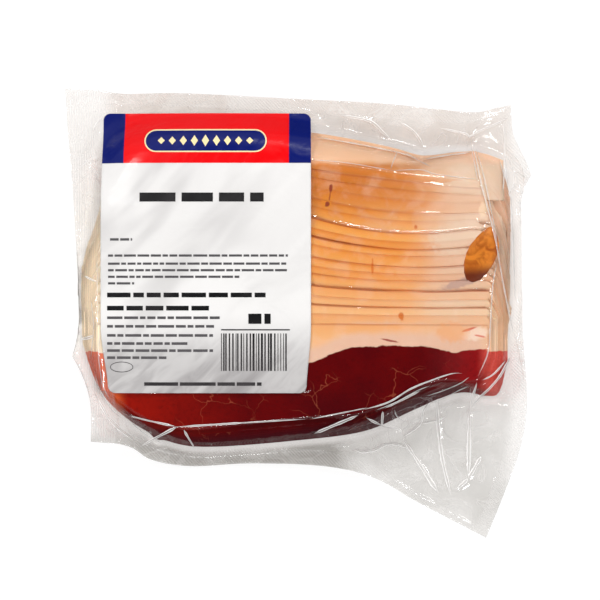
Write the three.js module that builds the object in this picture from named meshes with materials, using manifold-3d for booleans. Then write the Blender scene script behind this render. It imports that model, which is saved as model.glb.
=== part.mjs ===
// A sealed clear pack of sliced back bacon, lying on its back with the label up.
// Millimetres. +Z is up, +X is the reader's right and +Y the top of the label.
// The origin is on the floor, at the middle of the pack's outline.
import * as THREE from 'three';
import Module from 'manifold-3d';
import { mergeVertices } from 'three/addons/utils/BufferGeometryUtils.js';

const wasm = await Module();
wasm.setup();

// Driving dimensions
const STACK_TOP = 38;            // level of the top rasher, at its highest
const STACK_BELLY = 13;          // level where the film leaves the stack's side
const FILM_EDGE = 0.9;           // two film layers pressed together, drawn thick enough to be solid
const FILM_REACH = 17;           // how far beside the stack the two film layers stay apart
const SEAL_LEVEL = 7.5;          // level at which the two layers meet beside the stack
const REST_INSET = 0.9;          // share of the footprint that lies flat on the floor
const EDGE_COUNT = 17;           // rind edges between the top rasher and the rear crest
const EDGE_RELIEF = 1.1;         // height of one rind edge over the groove beside it
const EDGE_RELIEF_UNDER_LABEL = 0.25;
const LABEL = { left: -93.6, right: 6, bottom: -37.8, top: 95.8, corner: 3.4, thick: 0.45, gap: 0.3 };
const HUB = new THREE.Vector2(-2, 10);   // every outline below is a single loop round this point

// The sealed edge, counter-clockwise from the top right corner, as [x, y, level].
// The corners are free film: three curl up and the long one at the lower right lies low.
const SEALED_EDGE = [
  { name: 'top', steps: 28, points: [[102.1, 99.8, 13], [96.8, 98.9, 11], [86, 96.6, 9], [67.7, 98, 10],
    [41.4, 100.8, 8.5], [-4, 103.2, 9], [-59, 105.9, 8], [-87.2, 105.6, 10], [-98.7, 107.8, 12],
    [-111.9, 107.6, 15]] },
  { name: 'left', steps: 20, points: [[-111.9, 107.6, 15], [-111.1, 90.5, 11], [-108.5, 56.4, 8.5],
    [-106, 7.6, 8], [-106.4, -11.5, 9], [-109.2, -18.9, 10], [-103.9, -30.6, 8.5], [-100.3, -43, 9],
    [-99.7, -61.9, 13]] },
  { name: 'bottom', steps: 28, points: [[-99.7, -61.9, 13], [-81.9, -64.1, 10], [-71.3, -70.5, 9],
    [-53, -73.8, 8], [-23.1, -72.5, 8.5], [16.5, -74.4, 8], [37.1, -79.8, 7], [57.6, -91.3, 5.5],
    [90.6, -108.5, 6]] },
  { name: 'right', steps: 30, points: [[90.6, -108.5, 6], [99.7, -86.3, 5], [107.1, -65, 6.5],
    [110.2, -44.5, 8], [108.1, -8.6, 8], [107.5, 40.6, 9], [107.6, 57.6, 10], [111.9, 65.6, 12],
    [107.8, 76.5, 11], [103.5, 85.8, 10], [102.1, 99.8, 13]] },
];

// The stack's footprint and the crest where its top turns down into its sides.
const FOOTPRINT = [[101, -10], [102.1, 30], [102.1, 54], [98.5, 71], [82.5, 76.5], [70, 75.5], [58.6, 74.2],
  [44.7, 78], [6, 85.1], [-47, 88.9], [-86, 78], [-96, 46], [-103.4, 24.4], [-104.9, 0], [-100.6, -22.5],
  [-92.6, -39.7], [-76, -54.2], [-61.1, -61.7], [-48.8, -64.1], [-4, -61.2], [33, -55.9], [57.6, -45.1],
  [78, -37.5], [88, -38.5], [95.5, -41], [99.2, -28.7]];
const CREST = [[91, -4.8], [92.1, 11], [94.2, 30.1], [89.7, 52.6], [85.7, 63.4], [65.8, 65.5], [44.3, 68.2],
  [6, 73.3], [-45, 77], [-78, 68], [-90, 46.8], [-95, 12], [-94.8, -17.7], [-86, -41], [-59.5, -54.2],
  [-21.7, -51.7], [10.3, -49], [29, -47.6], [53.3, -36.1], [65.8, -31.1], [84.9, -31.3], [90.6, -16.3]];

// Folds standing up out of the film, each as a line of [x, y] with its width and height.
const FOLDS = [
  { points: [[50, -59.8], [67.7, -86.8]], width: 3, height: 1.6 },
  { points: [[67.2, -43], [69.1, -68.8], [73.4, -87.5]], width: 2.2, height: 1.4 },
  { points: [[82.5, -41.6], [82, -73.6], [82, -80]], width: 2.6, height: 1.8 },
  { points: [[88.2, -68.8], [82, -79.5], [76, -85.1]], width: 2.6, height: 1.5 },
  { points: [[83, -45.7], [88.7, -38.2], [96.6, -29.4], [102.1, -20.6]], width: 2.4, height: 1.7 },
  { points: [[83.2, 85.1], [86.3, 63.6], [91.6, 42.5], [96.8, 19.6], [103, -4.8], [106.2, -19.6]],
    width: 2.4, height: 1.2 },
  { points: [[25.9, -65.2], [30.9, -66.6], [36.8, -65.7], [42.2, -63.2], [52.9, -65.2]], width: 2.4, height: 1.3 },
  { points: [[-77, -63.5], [-64.9, -58], [-57.1, -53.3]], width: 2.4, height: 1.5 },
  { points: [[34.2, 92.7], [45.2, 83.6]], width: 2.8, height: 1.5 },
  { points: [[48.6, 92.3], [60.5, 80.3]], width: 2.2, height: 1.2 },
  { points: [[68, 89.4], [82.3, 85.1], [98.3, 92.7]], width: 2.6, height: 1.4 },
  { points: [[98.8, 93.2], [99.8, 76], [100.7, 60.9]], width: 2, height: 1.3 },
];
const RIND_FLAP = { x: 86.8, y: 29.2, halfWidth: 7.6, halfLength: 11.5, height: 1.6 };

// Helpers for shapes

const clamp01 = (value) => Math.min(1, Math.max(0, value));

function smoothstep(from, to, value) {
  const t = clamp01((value - from) / (to - from));
  return t * t * (3 - 2 * t);
}

function spline(points, closed) {
  const path = points.map(([x, y, z = 0]) => new THREE.Vector3(x, y, z));
  return new THREE.CatmullRomCurve3(path, closed, 'centripetal');
}

function angleRoundHub(x, y) {
  return Math.atan2(y - HUB.y, x - HUB.x);
}

// Turns a closed outline into a function that gives its radius from the hub, and level, at an angle.
function outlineByAngle(path) {
  const table = path.map((p) => ({
    angle: angleRoundHub(p.x, p.y),
    radius: Math.hypot(p.x - HUB.x, p.y - HUB.y),
    level: p.z,
  }));
  table.sort((a, b) => a.angle - b.angle);
  const first = table[0];
  const last = table[table.length - 1];
  table.push({ ...first, angle: first.angle + 2 * Math.PI });
  table.unshift({ ...last, angle: last.angle - 2 * Math.PI });
  return (angle) => {
    const k = table.findIndex((entry) => entry.angle > angle);
    const [from, to] = [table[k - 1], table[k]];
    const share = (angle - from.angle) / Math.max(1e-9, to.angle - from.angle);
    return {
      radius: from.radius + (to.radius - from.radius) * share,
      level: from.level + (to.level - from.level) * share,
    };
  };
}

const edgeAt = outlineByAngle(sealedEdgePoints());
const footprintAt = outlineByAngle(spline(FOOTPRINT, true).getSpacedPoints(360).slice(0, 360));
const crestAt = outlineByAngle(spline(CREST, true).getSpacedPoints(360).slice(0, 360));
const footprintRadius = (angle) => footprintAt(angle).radius;
const crestRadius = (angle) => crestAt(angle).radius;

// Closed solid through rings of equal length, from the lowest ring to the highest.
function ringSolid(rings) {
  const count = rings[0].length;
  const vertices = rings.flat();
  const triangles = [];
  for (let k = 0; k + 1 < rings.length; k += 1) {
    for (let i = 0; i < count; i += 1) {
      const a = k * count + i;
      const b = k * count + (i + 1) % count;
      triangles.push([a, b, b + count], [a, b + count, a + count]);
    }
  }
  const middle = (ring) => ring.reduce((sum, p) => sum.add(p), new THREE.Vector3()).divideScalar(count);
  const lastRing = (rings.length - 1) * count;
  vertices.push(middle(rings[0]), middle(rings[rings.length - 1]));
  for (let i = 0; i < count; i += 1) {
    const j = (i + 1) % count;
    triangles.push([vertices.length - 2, j, i], [vertices.length - 1, lastRing + i, lastRing + j]);
  }
  return triangleGeometry(vertices, triangles);
}

// Closed solid between an upper and a lower sheet of rows by columns of points.
function sheetSolid(upper, lower) {
  const rows = upper.length;
  const columns = upper[0].length;
  const vertices = [...upper.flat(), ...lower.flat()];
  const under = rows * columns;
  const triangles = [];
  for (let r = 0; r + 1 < rows; r += 1) {
    for (let c = 0; c + 1 < columns; c += 1) {
      const a = r * columns + c;
      const b = a + 1;
      const d = a + columns;
      const e = d + 1;
      triangles.push([a, b, e], [a, e, d]);
      triangles.push([under + a, under + e, under + b], [under + a, under + d, under + e]);
    }
  }
  const rim = [];
  for (let c = 0; c < columns; c += 1) rim.push(c);
  for (let r = 1; r < rows; r += 1) rim.push(r * columns + columns - 1);
  for (let c = columns - 2; c >= 0; c -= 1) rim.push((rows - 1) * columns + c);
  for (let r = rows - 2; r > 0; r -= 1) rim.push(r * columns);
  rim.forEach((a, k) => {
    const b = rim[(k + 1) % rim.length];
    triangles.push([under + a, under + b, b], [under + a, b, a]);
  });
  return triangleGeometry(vertices, triangles);
}

function triangleGeometry(vertices, triangles) {
  const geometry = new THREE.BufferGeometry().setFromPoints(vertices);
  geometry.setIndex(triangles.flat());
  return geometry;
}

function toManifold(geometry) {
  geometry.deleteAttribute('normal');
  geometry.deleteAttribute('uv');
  const merged = mergeVertices(geometry, 1e-4);
  return new wasm.Manifold(new wasm.Mesh({
    numProp: 3,
    vertProperties: new Float32Array(merged.attributes.position.array),
    triVerts: new Uint32Array(merged.index.array),
  }));
}

function toGeometry(solid) {
  const mesh = solid.getMesh();
  const geometry = new THREE.BufferGeometry();
  geometry.setAttribute('position', new THREE.BufferAttribute(mesh.vertProperties, 3));
  geometry.setIndex(new THREE.BufferAttribute(mesh.triVerts, 1));
  geometry.computeVertexNormals();
  return geometry;
}

// Levels of the pack's upper side

// The top of the stack without the rind edges: level in the middle, lower toward every side.
function stackEnvelope(x, y) {
  const rear = 8.5 * smoothstep(30, 76, y);
  const right = 6.5 * smoothstep(55, 96, x);
  const left = 4 * smoothstep(-62, -98, x);
  const front = 3.2 * smoothstep(-32, -58, y);
  const swell = 0.7 * Math.sin(x / 26 + 0.8) * Math.cos(y / 31);
  return STACK_TOP - rear - right - left - front + swell;
}

// Where rind edge number k crosses a given x. The edges lie closer to the right and sag between.
function rindEdgeY(k, x) {
  const t = clamp01((x - 6) / 76);
  const atLabel = -4.8 + 4.6 * k;
  const atRight = -5.4 + 4.1 * k;
  const sag = 0.4 * Math.min(k, 1.8 * (EDGE_COUNT - k));
  return atLabel + (atRight - atLabel) * t - sag * 4 * t * (1 - t);
}

// A rind edge rises fast out of the groove in front of it and falls slowly behind.
function rindProfile(share) {
  return share < 0.3 ? Math.sin((share / 0.3) * Math.PI / 2) : Math.cos(((share - 0.3) / 0.7) * Math.PI / 2) ** 0.8;
}

// Upper side of the stack along a path that crosses one rind edge for each whole number.
function stackPoint(k, x) {
  let y = rindEdgeY(clamp(k, 0, EDGE_COUNT), x);
  if (k < 0) y += k * 70;
  if (k > EDGE_COUNT) y += (k - EDGE_COUNT) * 28;
  const inRinds = k >= 0 && k <= EDGE_COUNT;
  const relief = x < LABEL.right + 1 ? EDGE_RELIEF_UNDER_LABEL : EDGE_RELIEF;
  const lift = inRinds ? relief * rindProfile(k - Math.floor(k)) : 0;
  return new THREE.Vector3(x, y, stackEnvelope(x, y) + lift);
}

function clamp(value, low, high) {
  return Math.min(high, Math.max(low, value));
}

// Level of the stack's rounded side at a place between the crest and the footprint.
function sideLevel(x, y) {
  const angle = angleRoundHub(x, y);
  const foot = footprintRadius(angle);
  const crest = crestRadius(angle);
  const radius = Math.hypot(x - HUB.x, y - HUB.y);
  const inward = clamp01((foot - radius) / (foot - crest));
  if (radius <= crest) return Infinity;
  const crestX = HUB.x + Math.cos(angle) * crest;
  const crestY = HUB.y + Math.sin(angle) * crest;
  return stackEnvelope(crestX, crestY) * Math.cbrt(inward);
}

function packLevel(x, y) {
  const angle = angleRoundHub(x, y);
  const beyond = Math.hypot(x - HUB.x, y - HUB.y) - footprintRadius(angle);
  if (beyond > 0) return filmLevel(beyond, sealLevel(angle, beyond), 1);
  return Math.max(STACK_BELLY, Math.min(stackEnvelope(x, y) + EDGE_RELIEF_UNDER_LABEL, sideLevel(x, y)));
}

// Level at which the two film layers meet, on the way from the stack out to the sealed edge.
function sealLevel(angle, beyond) {
  const edge = edgeAt(angle);
  const share = clamp01(beyond / (edge.radius - footprintRadius(angle)));
  return SEAL_LEVEL + (edge.level - SEAL_LEVEL) * share;
}

// Level of the upper (side 1) or lower (side -1) film layer at a distance beside the stack.
function filmLevel(beyond, seal, side) {
  const apart = clamp01(1 - beyond / FILM_REACH) ** 2;
  const atStack = side > 0 ? STACK_BELLY : 1.5;
  return seal + side * FILM_EDGE / 2 + (atStack - seal - side * FILM_EDGE / 2) * apart;
}

// Parts of the bag

function sealedEdgePoints() {
  return SEALED_EDGE.flatMap(({ steps, points }) => spline(points, false).getSpacedPoints(steps).slice(0, steps));
}

function ringFromEdge(edge, place) {
  return edge.map((point) => place(point, angleRoundHub(point.x, point.y)));
}

function polar(angle, radius, z) {
  return new THREE.Vector3(HUB.x + Math.cos(angle) * radius, HUB.y + Math.sin(angle) * radius, z);
}

// The two film layers, from the floor under the stack out to the sealed edge and back in.
function filmSkirt(edge) {
  const shares = [0, 0.22, 0.45, 0.68, 0.86, 1];
  const layer = (share, side) => ringFromEdge(edge, (point, angle) => {
    const foot = footprintRadius(angle);
    const outer = Math.hypot(point.x - HUB.x, point.y - HUB.y);
    const radius = outer + (foot - outer) * share;
    return polar(angle, radius, filmLevel(radius - foot, sealLevel(angle, radius - foot), side));
  });
  const restFlat = ringFromEdge(edge, (point, angle) => polar(angle, footprintRadius(angle) * REST_INSET, 0));
  const insideStack = ringFromEdge(edge, (point, angle) => polar(angle, crestRadius(angle) * 0.9, STACK_BELLY - 1));
  const lower = [...shares].reverse().map((share) => layer(share, -1));
  const upper = shares.map((share) => layer(share, 1));
  return ringSolid([restFlat, ...lower, ...upper, insideStack]);
}

// The rounded sides of the stack, carried on above its crest so that the top can trim them.
function stackSides(edge) {
  const levels = [0.42, 0.55, 0.68, 0.8, 0.9, 0.97, 1];
  const side = (level) => ringFromEdge(edge, (point, angle) => {
    const foot = footprintRadius(angle);
    const crest = crestRadius(angle);
    const rim = polar(angle, crest, 0);
    const inward = level ** 3;
    return polar(angle, foot + (crest - foot) * inward, stackEnvelope(rim.x, rim.y) * level);
  });
  const root = ringFromEdge(edge, (point, angle) => polar(angle, footprintRadius(angle) * 0.93, 4));
  const above = ringFromEdge(edge, (point, angle) => polar(angle, crestRadius(angle) * 0.93, STACK_TOP + 6));
  return ringSolid([root, ...levels.map(side), above]);
}

// A block whose upper side carries the rind edges.
function stackTop() {
  const rowsAt = [-1, -0.75, -0.6, -0.45, -0.3, -0.15];
  for (let k = 0; k < EDGE_COUNT; k += 1) rowsAt.push(k, k + 0.12, k + 0.3, k + 0.7);
  rowsAt.push(EDGE_COUNT, EDGE_COUNT + 0.5, EDGE_COUNT + 1);
  const columnsAt = [-115, -98, -85, -65, -45, -25, -8, LABEL.right];
  for (let x = LABEL.right + 2; x < 84; x += 6.5) columnsAt.push(x);
  columnsAt.push(86, 92, 98, 112);
  const upper = rowsAt.map((k) => columnsAt.map((x) => stackPoint(k, x)));
  const lower = upper.map((row) => row.map((p) => new THREE.Vector3(p.x, p.y, 3)));
  return sheetSolid(upper, lower);
}

// A fold standing on the film: a three-sided bar along its line, pointed at both ends.
function filmFold({ points, width, height }) {
  const path = spline(points, false);
  const sections = Math.max(3, Math.round(path.getLength() / 7));
  const vertices = [];
  const triangles = [];
  for (let i = 1; i < sections; i += 1) {
    const u = i / sections;
    const at = path.getPointAt(u);
    const ahead = path.getTangentAt(u);
    const across = new THREE.Vector3(-ahead.y, ahead.x, 0).multiplyScalar(width / 2);
    const ground = packLevel(at.x, at.y);
    const crest = ground + height * Math.sin(Math.PI * u) ** 0.5;
    vertices.push(new THREE.Vector3(at.x + across.x, at.y + across.y, ground - 0.5));
    vertices.push(new THREE.Vector3(at.x - across.x, at.y - across.y, ground - 0.5));
    vertices.push(new THREE.Vector3(at.x, at.y, crest));
  }
  const bars = sections - 1;
  for (let i = 0; i + 1 < bars; i += 1) {
    const a = 3 * i;
    const b = a + 3;
    triangles.push([a, b, b + 1], [a, b + 1, a + 1]);
    triangles.push([a + 1, b + 1, b + 2], [a + 1, b + 2, a + 2]);
    triangles.push([a + 2, b + 2, b], [a + 2, b, a]);
  }
  const start = path.getPointAt(0);
  const end = path.getPointAt(1);
  vertices.push(new THREE.Vector3(start.x, start.y, packLevel(start.x, start.y) - 0.3));
  vertices.push(new THREE.Vector3(end.x, end.y, packLevel(end.x, end.y) - 0.3));
  const first = vertices.length - 2;
  const last = first + 1;
  const tail = 3 * (bars - 1);
  triangles.push([first, 0, 1], [first, 1, 2], [first, 2, 0]);
  triangles.push([last, tail + 1, tail], [last, tail + 2, tail + 1], [last, tail, tail + 2]);
  return triangleGeometry(vertices, triangles);
}

// The smoked piece of rind that lies on the rind edges near the right side.
function rindFlap() {
  const dome = new THREE.SphereGeometry(1, 14, 6);
  dome.rotateX(Math.PI / 2);
  dome.scale(RIND_FLAP.halfWidth, RIND_FLAP.halfLength, RIND_FLAP.height * 1.6);
  dome.translate(RIND_FLAP.x, RIND_FLAP.y, packLevel(RIND_FLAP.x, RIND_FLAP.y));
  return dome;
}

function bag() {
  const edge = sealedEdgePoints();
  const stack = toManifold(stackSides(edge)).intersect(toManifold(stackTop()));
  let pack = toManifold(filmSkirt(edge)).add(stack);
  for (const fold of FOLDS) pack = pack.add(toManifold(filmFold(fold)));
  return toGeometry(pack.add(toManifold(rindFlap())));
}

// The label: a thin plate with rounded corners that follows the pack under it.
function label() {
  const columns = 16;
  const rows = 22;
  const width = LABEL.right - LABEL.left;
  const height = LABEL.top - LABEL.bottom;
  const reach = Math.max(width / columns, height / rows);
  const highestNear = (x, y) => {
    let best = 0;
    for (let i = -2; i <= 2; i += 1) {
      for (let j = -2; j <= 2; j += 1) best = Math.max(best, packLevel(x + i * reach / 2, y + j * reach / 2));
    }
    return best;
  };
  const cornerInset = (y) => {
    const toEnd = Math.min(y - LABEL.bottom, LABEL.top - y);
    const past = Math.max(0, LABEL.corner - toEnd);
    return LABEL.corner - Math.sqrt(LABEL.corner ** 2 - past ** 2);
  };
  const rowShares = [0, 0.006, 0.015];
  for (let r = 1; r < rows; r += 1) rowShares.push(r / rows);
  rowShares.push(0.985, 0.994, 1);
  const upper = rowShares.map((v) => {
    const y = LABEL.bottom + height * v;
    const inset = Math.min(cornerInset(y), LABEL.corner * 0.98);
    const row = [];
    for (let c = 0; c <= columns; c += 1) {
      const x = LABEL.left + inset + (width - 2 * inset) * c / columns;
      row.push(new THREE.Vector3(x, y, highestNear(x, y) + LABEL.gap + LABEL.thick));
    }
    return row;
  });
  const lower = upper.map((row) => row.map((p) => new THREE.Vector3(p.x, p.y, p.z - LABEL.thick)));
  const geometry = sheetSolid(upper, lower);
  geometry.computeVertexNormals();
  return geometry;
}

function namedMesh(name, geometry, color, roughness) {
  const mesh = new THREE.Mesh(geometry, new THREE.MeshStandardMaterial({ color, roughness, metalness: 0 }));
  mesh.name = name;
  return mesh;
}

const group = new THREE.Group();
group.add(namedMesh('bag', bag(), 0xd98a5c, 0.25));
group.add(namedMesh('label', label(), 0xe9e8e6, 0.45));

// The origin goes to the floor under the middle of the whole pack.
const extent = new THREE.Box3().setFromObject(group);
const middle = extent.getCenter(new THREE.Vector3());
group.position.set(-middle.x, -middle.y, -extent.min.z);

export default group;
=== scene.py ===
# %% [markdown]
# # A vacuum pack of sliced back bacon
#
# The pack is a clear film bag drawn tight over a stack of rashers, with a paper label stuck on it.
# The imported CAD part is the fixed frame: its solid `bag` gives the size of the stack, the sealed edge
# and the lie of the film, and its thin plate `label` gives the place of the label.
# Every length below is in metres. +X is the reader's right and +Y the top of the label.

# %% Load the frame
import math

import bmesh
import bpy
import numpy as np
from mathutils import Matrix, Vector
from mathutils.bvhtree import BVHTree


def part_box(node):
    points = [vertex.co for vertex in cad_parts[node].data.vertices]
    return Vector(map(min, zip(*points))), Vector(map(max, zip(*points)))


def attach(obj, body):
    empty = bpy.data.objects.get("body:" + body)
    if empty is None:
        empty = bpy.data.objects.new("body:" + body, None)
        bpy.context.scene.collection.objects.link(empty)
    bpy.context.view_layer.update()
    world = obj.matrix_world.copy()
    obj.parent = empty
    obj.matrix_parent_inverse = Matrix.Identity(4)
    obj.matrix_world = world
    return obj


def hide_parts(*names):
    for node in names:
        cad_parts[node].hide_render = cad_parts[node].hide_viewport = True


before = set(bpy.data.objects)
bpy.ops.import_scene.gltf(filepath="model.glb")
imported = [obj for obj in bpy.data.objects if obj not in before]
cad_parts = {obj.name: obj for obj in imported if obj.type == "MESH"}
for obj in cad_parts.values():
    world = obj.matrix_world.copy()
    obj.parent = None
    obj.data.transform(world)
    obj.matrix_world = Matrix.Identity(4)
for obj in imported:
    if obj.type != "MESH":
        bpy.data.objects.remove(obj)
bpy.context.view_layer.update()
MM = 0.001

# %% [markdown]
# Noise that repeats exactly is needed in many places: in the waver of a rind edge, in the thickness of
# a rasher and in the crinkles of the film. A sum of a few sine waves with seeded phases is smooth,
# quick, and the same in every run.


# %% Seeded smooth noise
def waves(seed, shortest, longest, count=7):
    """A smooth random function of x and y, about -1 to 1, with waves between two lengths."""
    rng = np.random.default_rng(seed)
    lengths = np.exp(rng.uniform(math.log(shortest), math.log(longest), count))
    headings = rng.uniform(0, 2 * math.pi, count)
    phases = rng.uniform(0, 2 * math.pi, count)
    kx = 2 * math.pi * np.cos(headings) / lengths
    ky = 2 * math.pi * np.sin(headings) / lengths
    strength = np.sqrt(lengths) / np.sqrt(lengths).sum() * 1.6

    def field(x, y):
        total = np.zeros(np.broadcast(x, y).shape)
        for i in range(count):
            total = total + strength[i] * np.sin(kx[i] * x + ky[i] * y + phases[i])
        return total

    return field


def smoothstep(low, high, value):
    t = np.clip((value - low) / (high - low), 0, 1)
    return t * t * (3 - 2 * t)


# %% [markdown]
# A map is a square grid of levels over the pack, like a relief map of a landscape. Rays dropped onto
# the CAD bag read its upper and lower side into two maps. All that follows, the rashers and the film,
# is fitted to these, so nothing can leave the size that the CAD model gives.

# %% Read the bag's levels into maps
CELL = 0.6 * MM
MARGIN = 6 * CELL
bag_low, bag_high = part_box("bag")
grid_x = np.arange(bag_low[0] - MARGIN, bag_high[0] + MARGIN, CELL)
grid_y = np.arange(bag_low[1] - MARGIN, bag_high[1] + MARGIN, CELL)
map_x, map_y = np.meshgrid(grid_x, grid_y, indexing="ij")


def surface_tree(*objects):
    """One search tree over the triangles of several mesh objects."""
    points, faces = [], []
    for piece in objects:
        start = len(points)
        points.extend(v.co.copy() for v in piece.data.vertices)
        faces.extend([start + i for i in polygon.vertices] for polygon in piece.data.polygons)
    return BVHTree.FromPolygons(points, faces)


def drop_rays(tree, xs, ys, start=0.2, upwards=False):
    """The level that a ray meets first at each place, or NaN beside the piece."""
    heading = Vector((0, 0, 1 if upwards else -1))
    levels = np.full(xs.shape, np.nan)
    for place in np.ndindex(xs.shape):
        hit = tree.ray_cast(Vector((xs[place], ys[place], -start if upwards else start)), heading)[0]
        if hit is not None:
            levels[place] = hit.z
    return levels


bag_tree = surface_tree(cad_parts["bag"])
bag_top = drop_rays(bag_tree, map_x, map_y)
in_bag = ~np.isnan(bag_top)
print("map", bag_top.shape, "cells on the bag", int(in_bag.sum()))


# %% Tools for maps
def blur(values, sigma, weight=None):
    """Gaussian blur that leaves out cells of no weight, by two passes of a one-way kernel."""
    weight = np.ones(values.shape) if weight is None else weight.astype(float)
    reach = int(3 * sigma) + 1
    steps = np.arange(-reach, reach + 1)
    kernel = np.exp(-0.5 * (steps / sigma) ** 2)

    def one_way(field, axis):
        padded = np.pad(field, [(reach, reach) if a == axis else (0, 0) for a in (0, 1)], mode="edge")
        total = np.zeros(field.shape)
        for offset, share in zip(steps + reach, kernel):
            total += share * np.take(padded, np.arange(offset, offset + field.shape[axis]), axis=axis)
        return total

    filled = np.where(weight > 0, np.nan_to_num(values), 0) * weight
    top = one_way(one_way(filled, 0), 1)
    bottom = one_way(one_way(weight, 0), 1)
    return top / np.maximum(bottom, 1e-9)


def sample(field, x, y):
    """Reads a map at any place, mixing the four cells round it."""
    u = np.clip((np.asarray(x, float) - grid_x[0]) / CELL, 0, len(grid_x) - 1.001)
    v = np.clip((np.asarray(y, float) - grid_y[0]) / CELL, 0, len(grid_y) - 1.001)
    i, j = u.astype(int), v.astype(int)
    a, b = u - i, v - j
    near = field[i, j] * (1 - a) + field[i + 1, j] * a
    far = field[i, j + 1] * (1 - a) + field[i + 1, j + 1] * a
    return near * (1 - b) + far * b


# %% [markdown]
# The stack's top is the gently domed plateau of the CAD bag. Blurring only the level cells, and
# letting the blur reach past the crest, carries the plateau on beyond its own edge. The rashers need
# that, because each one is cut off by the side of the stack, and not by the edge of the plateau.

# %% The plateau and the inside of the stack
top_filled = np.where(in_bag, bag_top, 0)
slope = np.hypot(*np.gradient(top_filled, CELL))
level_cells = in_bag & (bag_top > 25 * MM) & (slope < 0.55)
plateau = blur(top_filled, 9, level_cells)
for _ in range(3):
    known = blur(level_cells.astype(float), 9) > 0.002
    plateau = np.where(known, plateau, blur(plateau, 14, known))
    level_cells = known
side = blur(top_filled, 1.6)
BELLY = 13.2 * MM
stack_area = side > BELLY
print("stack footprint", round(float(stack_area.sum()) * CELL * CELL * 1e4, 1), "cm2")

# %% [markdown]
# The rind edges of a fanned stack are nearly parallel lines. They are counted from the edge of the
# top rasher, number 0, to the crest at the rear. One formula gives the place of any edge and,
# turned round, the number of edges passed at any place.

# %% Rind edges of the fanned stack
EDGES = 17
FAN_LEFT = 6 * MM
FAN_RIGHT = 82 * MM
FIRST_EDGE_LEFT = -4.8 * MM
FIRST_EDGE_RIGHT = -5.4 * MM
STEP_LEFT = 4.6 * MM
STEP_RIGHT = 4.1 * MM
SAG = 0.4 * MM
UNEVEN = np.random.default_rng(21).uniform(-0.17, 0.17, EDGES + 1)
UNEVEN[[0, 2, 4, 9, 11, EDGES]] = 0


def rind_edge(number, x):
    """The y of a rind edge at x: edges lie closer to the right and sag in between."""
    along = (x - FAN_LEFT) / (FAN_RIGHT - FAN_LEFT)
    t = np.clip(along, 0, 1)
    steps = number + np.interp(number, np.arange(EDGES + 1), UNEVEN)
    left = FIRST_EDGE_LEFT + STEP_LEFT * steps
    right = FIRST_EDGE_RIGHT + STEP_RIGHT * steps
    sag = SAG * np.clip(np.minimum(number, 1.8 * (EDGES - number)), 0, None)
    before = np.clip(-along, 0, None)
    return left + (right - left) * t - sag * 4 * t * (1 - t) + sag * 4 * before / (1 + 3 * before)


edge_table = np.arange(-25.0, 30.0, 0.25)
edges_passed = np.empty(map_x.shape)
for i, x in enumerate(grid_x):
    edges_passed[i] = np.interp(grid_y, rind_edge(edge_table, x), edge_table)

# %% [markdown]
# A rasher is a slab that lies level at the front of the stack and climbs to the top at the rear, where
# its rind shows past the edge of the rasher above it. Each slab starts as a flat grid. The grid's
# columns are stretched between the front side of the stack and the slab's own rind, its points are
# lifted to the slab's level, it gets its thickness by Solidify, and its rim is rounded with Bevel.
# Four values are kept on each point for the material: how far it is from the rind, how far it is
# inside the lean, a tone for the whole slab, and how deep the groove behind its rind is.

# %% Helpers for pieces
def new_object(name, bm, smooth=True):
    mesh = bpy.data.meshes.new(name)
    bm.to_mesh(mesh)
    bm.free()
    if smooth:
        mesh.polygons.foreach_set("use_smooth", [True] * len(mesh.polygons))
    piece = bpy.data.objects.new(name, mesh)
    bpy.context.collection.objects.link(piece)
    return piece


def belongs(piece, node):
    """The piece rides with the pack and stands for a CAD node, whose own part is hidden."""
    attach(piece, "root")
    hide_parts(node)


def points_of(mesh):
    """The places of all points of a mesh or a bmesh."""
    return np.array([v.co for v in (mesh.verts if isinstance(mesh, bmesh.types.BMesh) else mesh.vertices)])


def flat_grid(columns, rows):
    """A flat bmesh grid, with the number of the column and of the row of each of its points."""
    bm = bmesh.new()
    bmesh.ops.create_grid(bm, x_segments=columns, y_segments=rows, size=1)
    shares = (points_of(bm) + 1) / 2
    return bm, np.rint(shares[:, 0] * columns).astype(int), np.rint(shares[:, 1] * rows).astype(int)


def move_points(bm, x, y, z):
    for v, place in zip(bm.verts, np.column_stack([x, y, z])):
        v.co = place


def face_up(bm):
    """Turns every face round if they look down on the whole."""
    if sum(f.normal.z for f in bm.faces) < 0:
        bmesh.ops.reverse_faces(bm, faces=bm.faces)


def keep_values(piece, **values):
    """Keeps values on the points of a piece, for its material to read."""
    for name, data in values.items():
        layer = piece.data.attributes.new(name, "FLOAT", "POINT")
        layer.data.foreach_set("value", np.broadcast_to(data, len(piece.data.vertices)).astype("f"))


print("helpers for pieces are ready")

# %% [markdown]
# A rasher of back bacon has a band of fat along its rind and lean meat beyond it. The border wanders,
# and it can be read off the photograph only for the top rasher. Knots give the width of the band
# along that one, and seeded waves vary it on those below.

# %% Where the fat ends and the lean begins
FAT_KNOTS_X = np.array([-100, -60, -20, 2, 6, 12, 18, 26, 45, 63, 74, 80, 90, 100]) * MM
FAT_KNOTS_WIDTH = np.array([13, 17, 20, 19.4, 18.5, 16, 13, 10.6, 10.0, 10.6, 13.2, 11.6, 11.8, 11.8]) * MM
LEFT_END = -96 * MM
RIGHT_END = 95 * MM
LEAN_STARTS = -18 * MM
fat_waver = waves(11, 9 * MM, 60 * MM)


def fat_width(x, number):
    """Width of the fat band along the rind of a rasher: known for the top one, wavering below."""
    top_one = np.interp(x, FAT_KNOTS_X, FAT_KNOTS_WIDTH)
    return top_one + np.clip(number, 0, 3) * 1.6 * MM * fat_waver(x, number * 31 * MM)


print("fat band mm", round(float(fat_width(0, 0)) / MM, 1), "in the middle")

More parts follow.
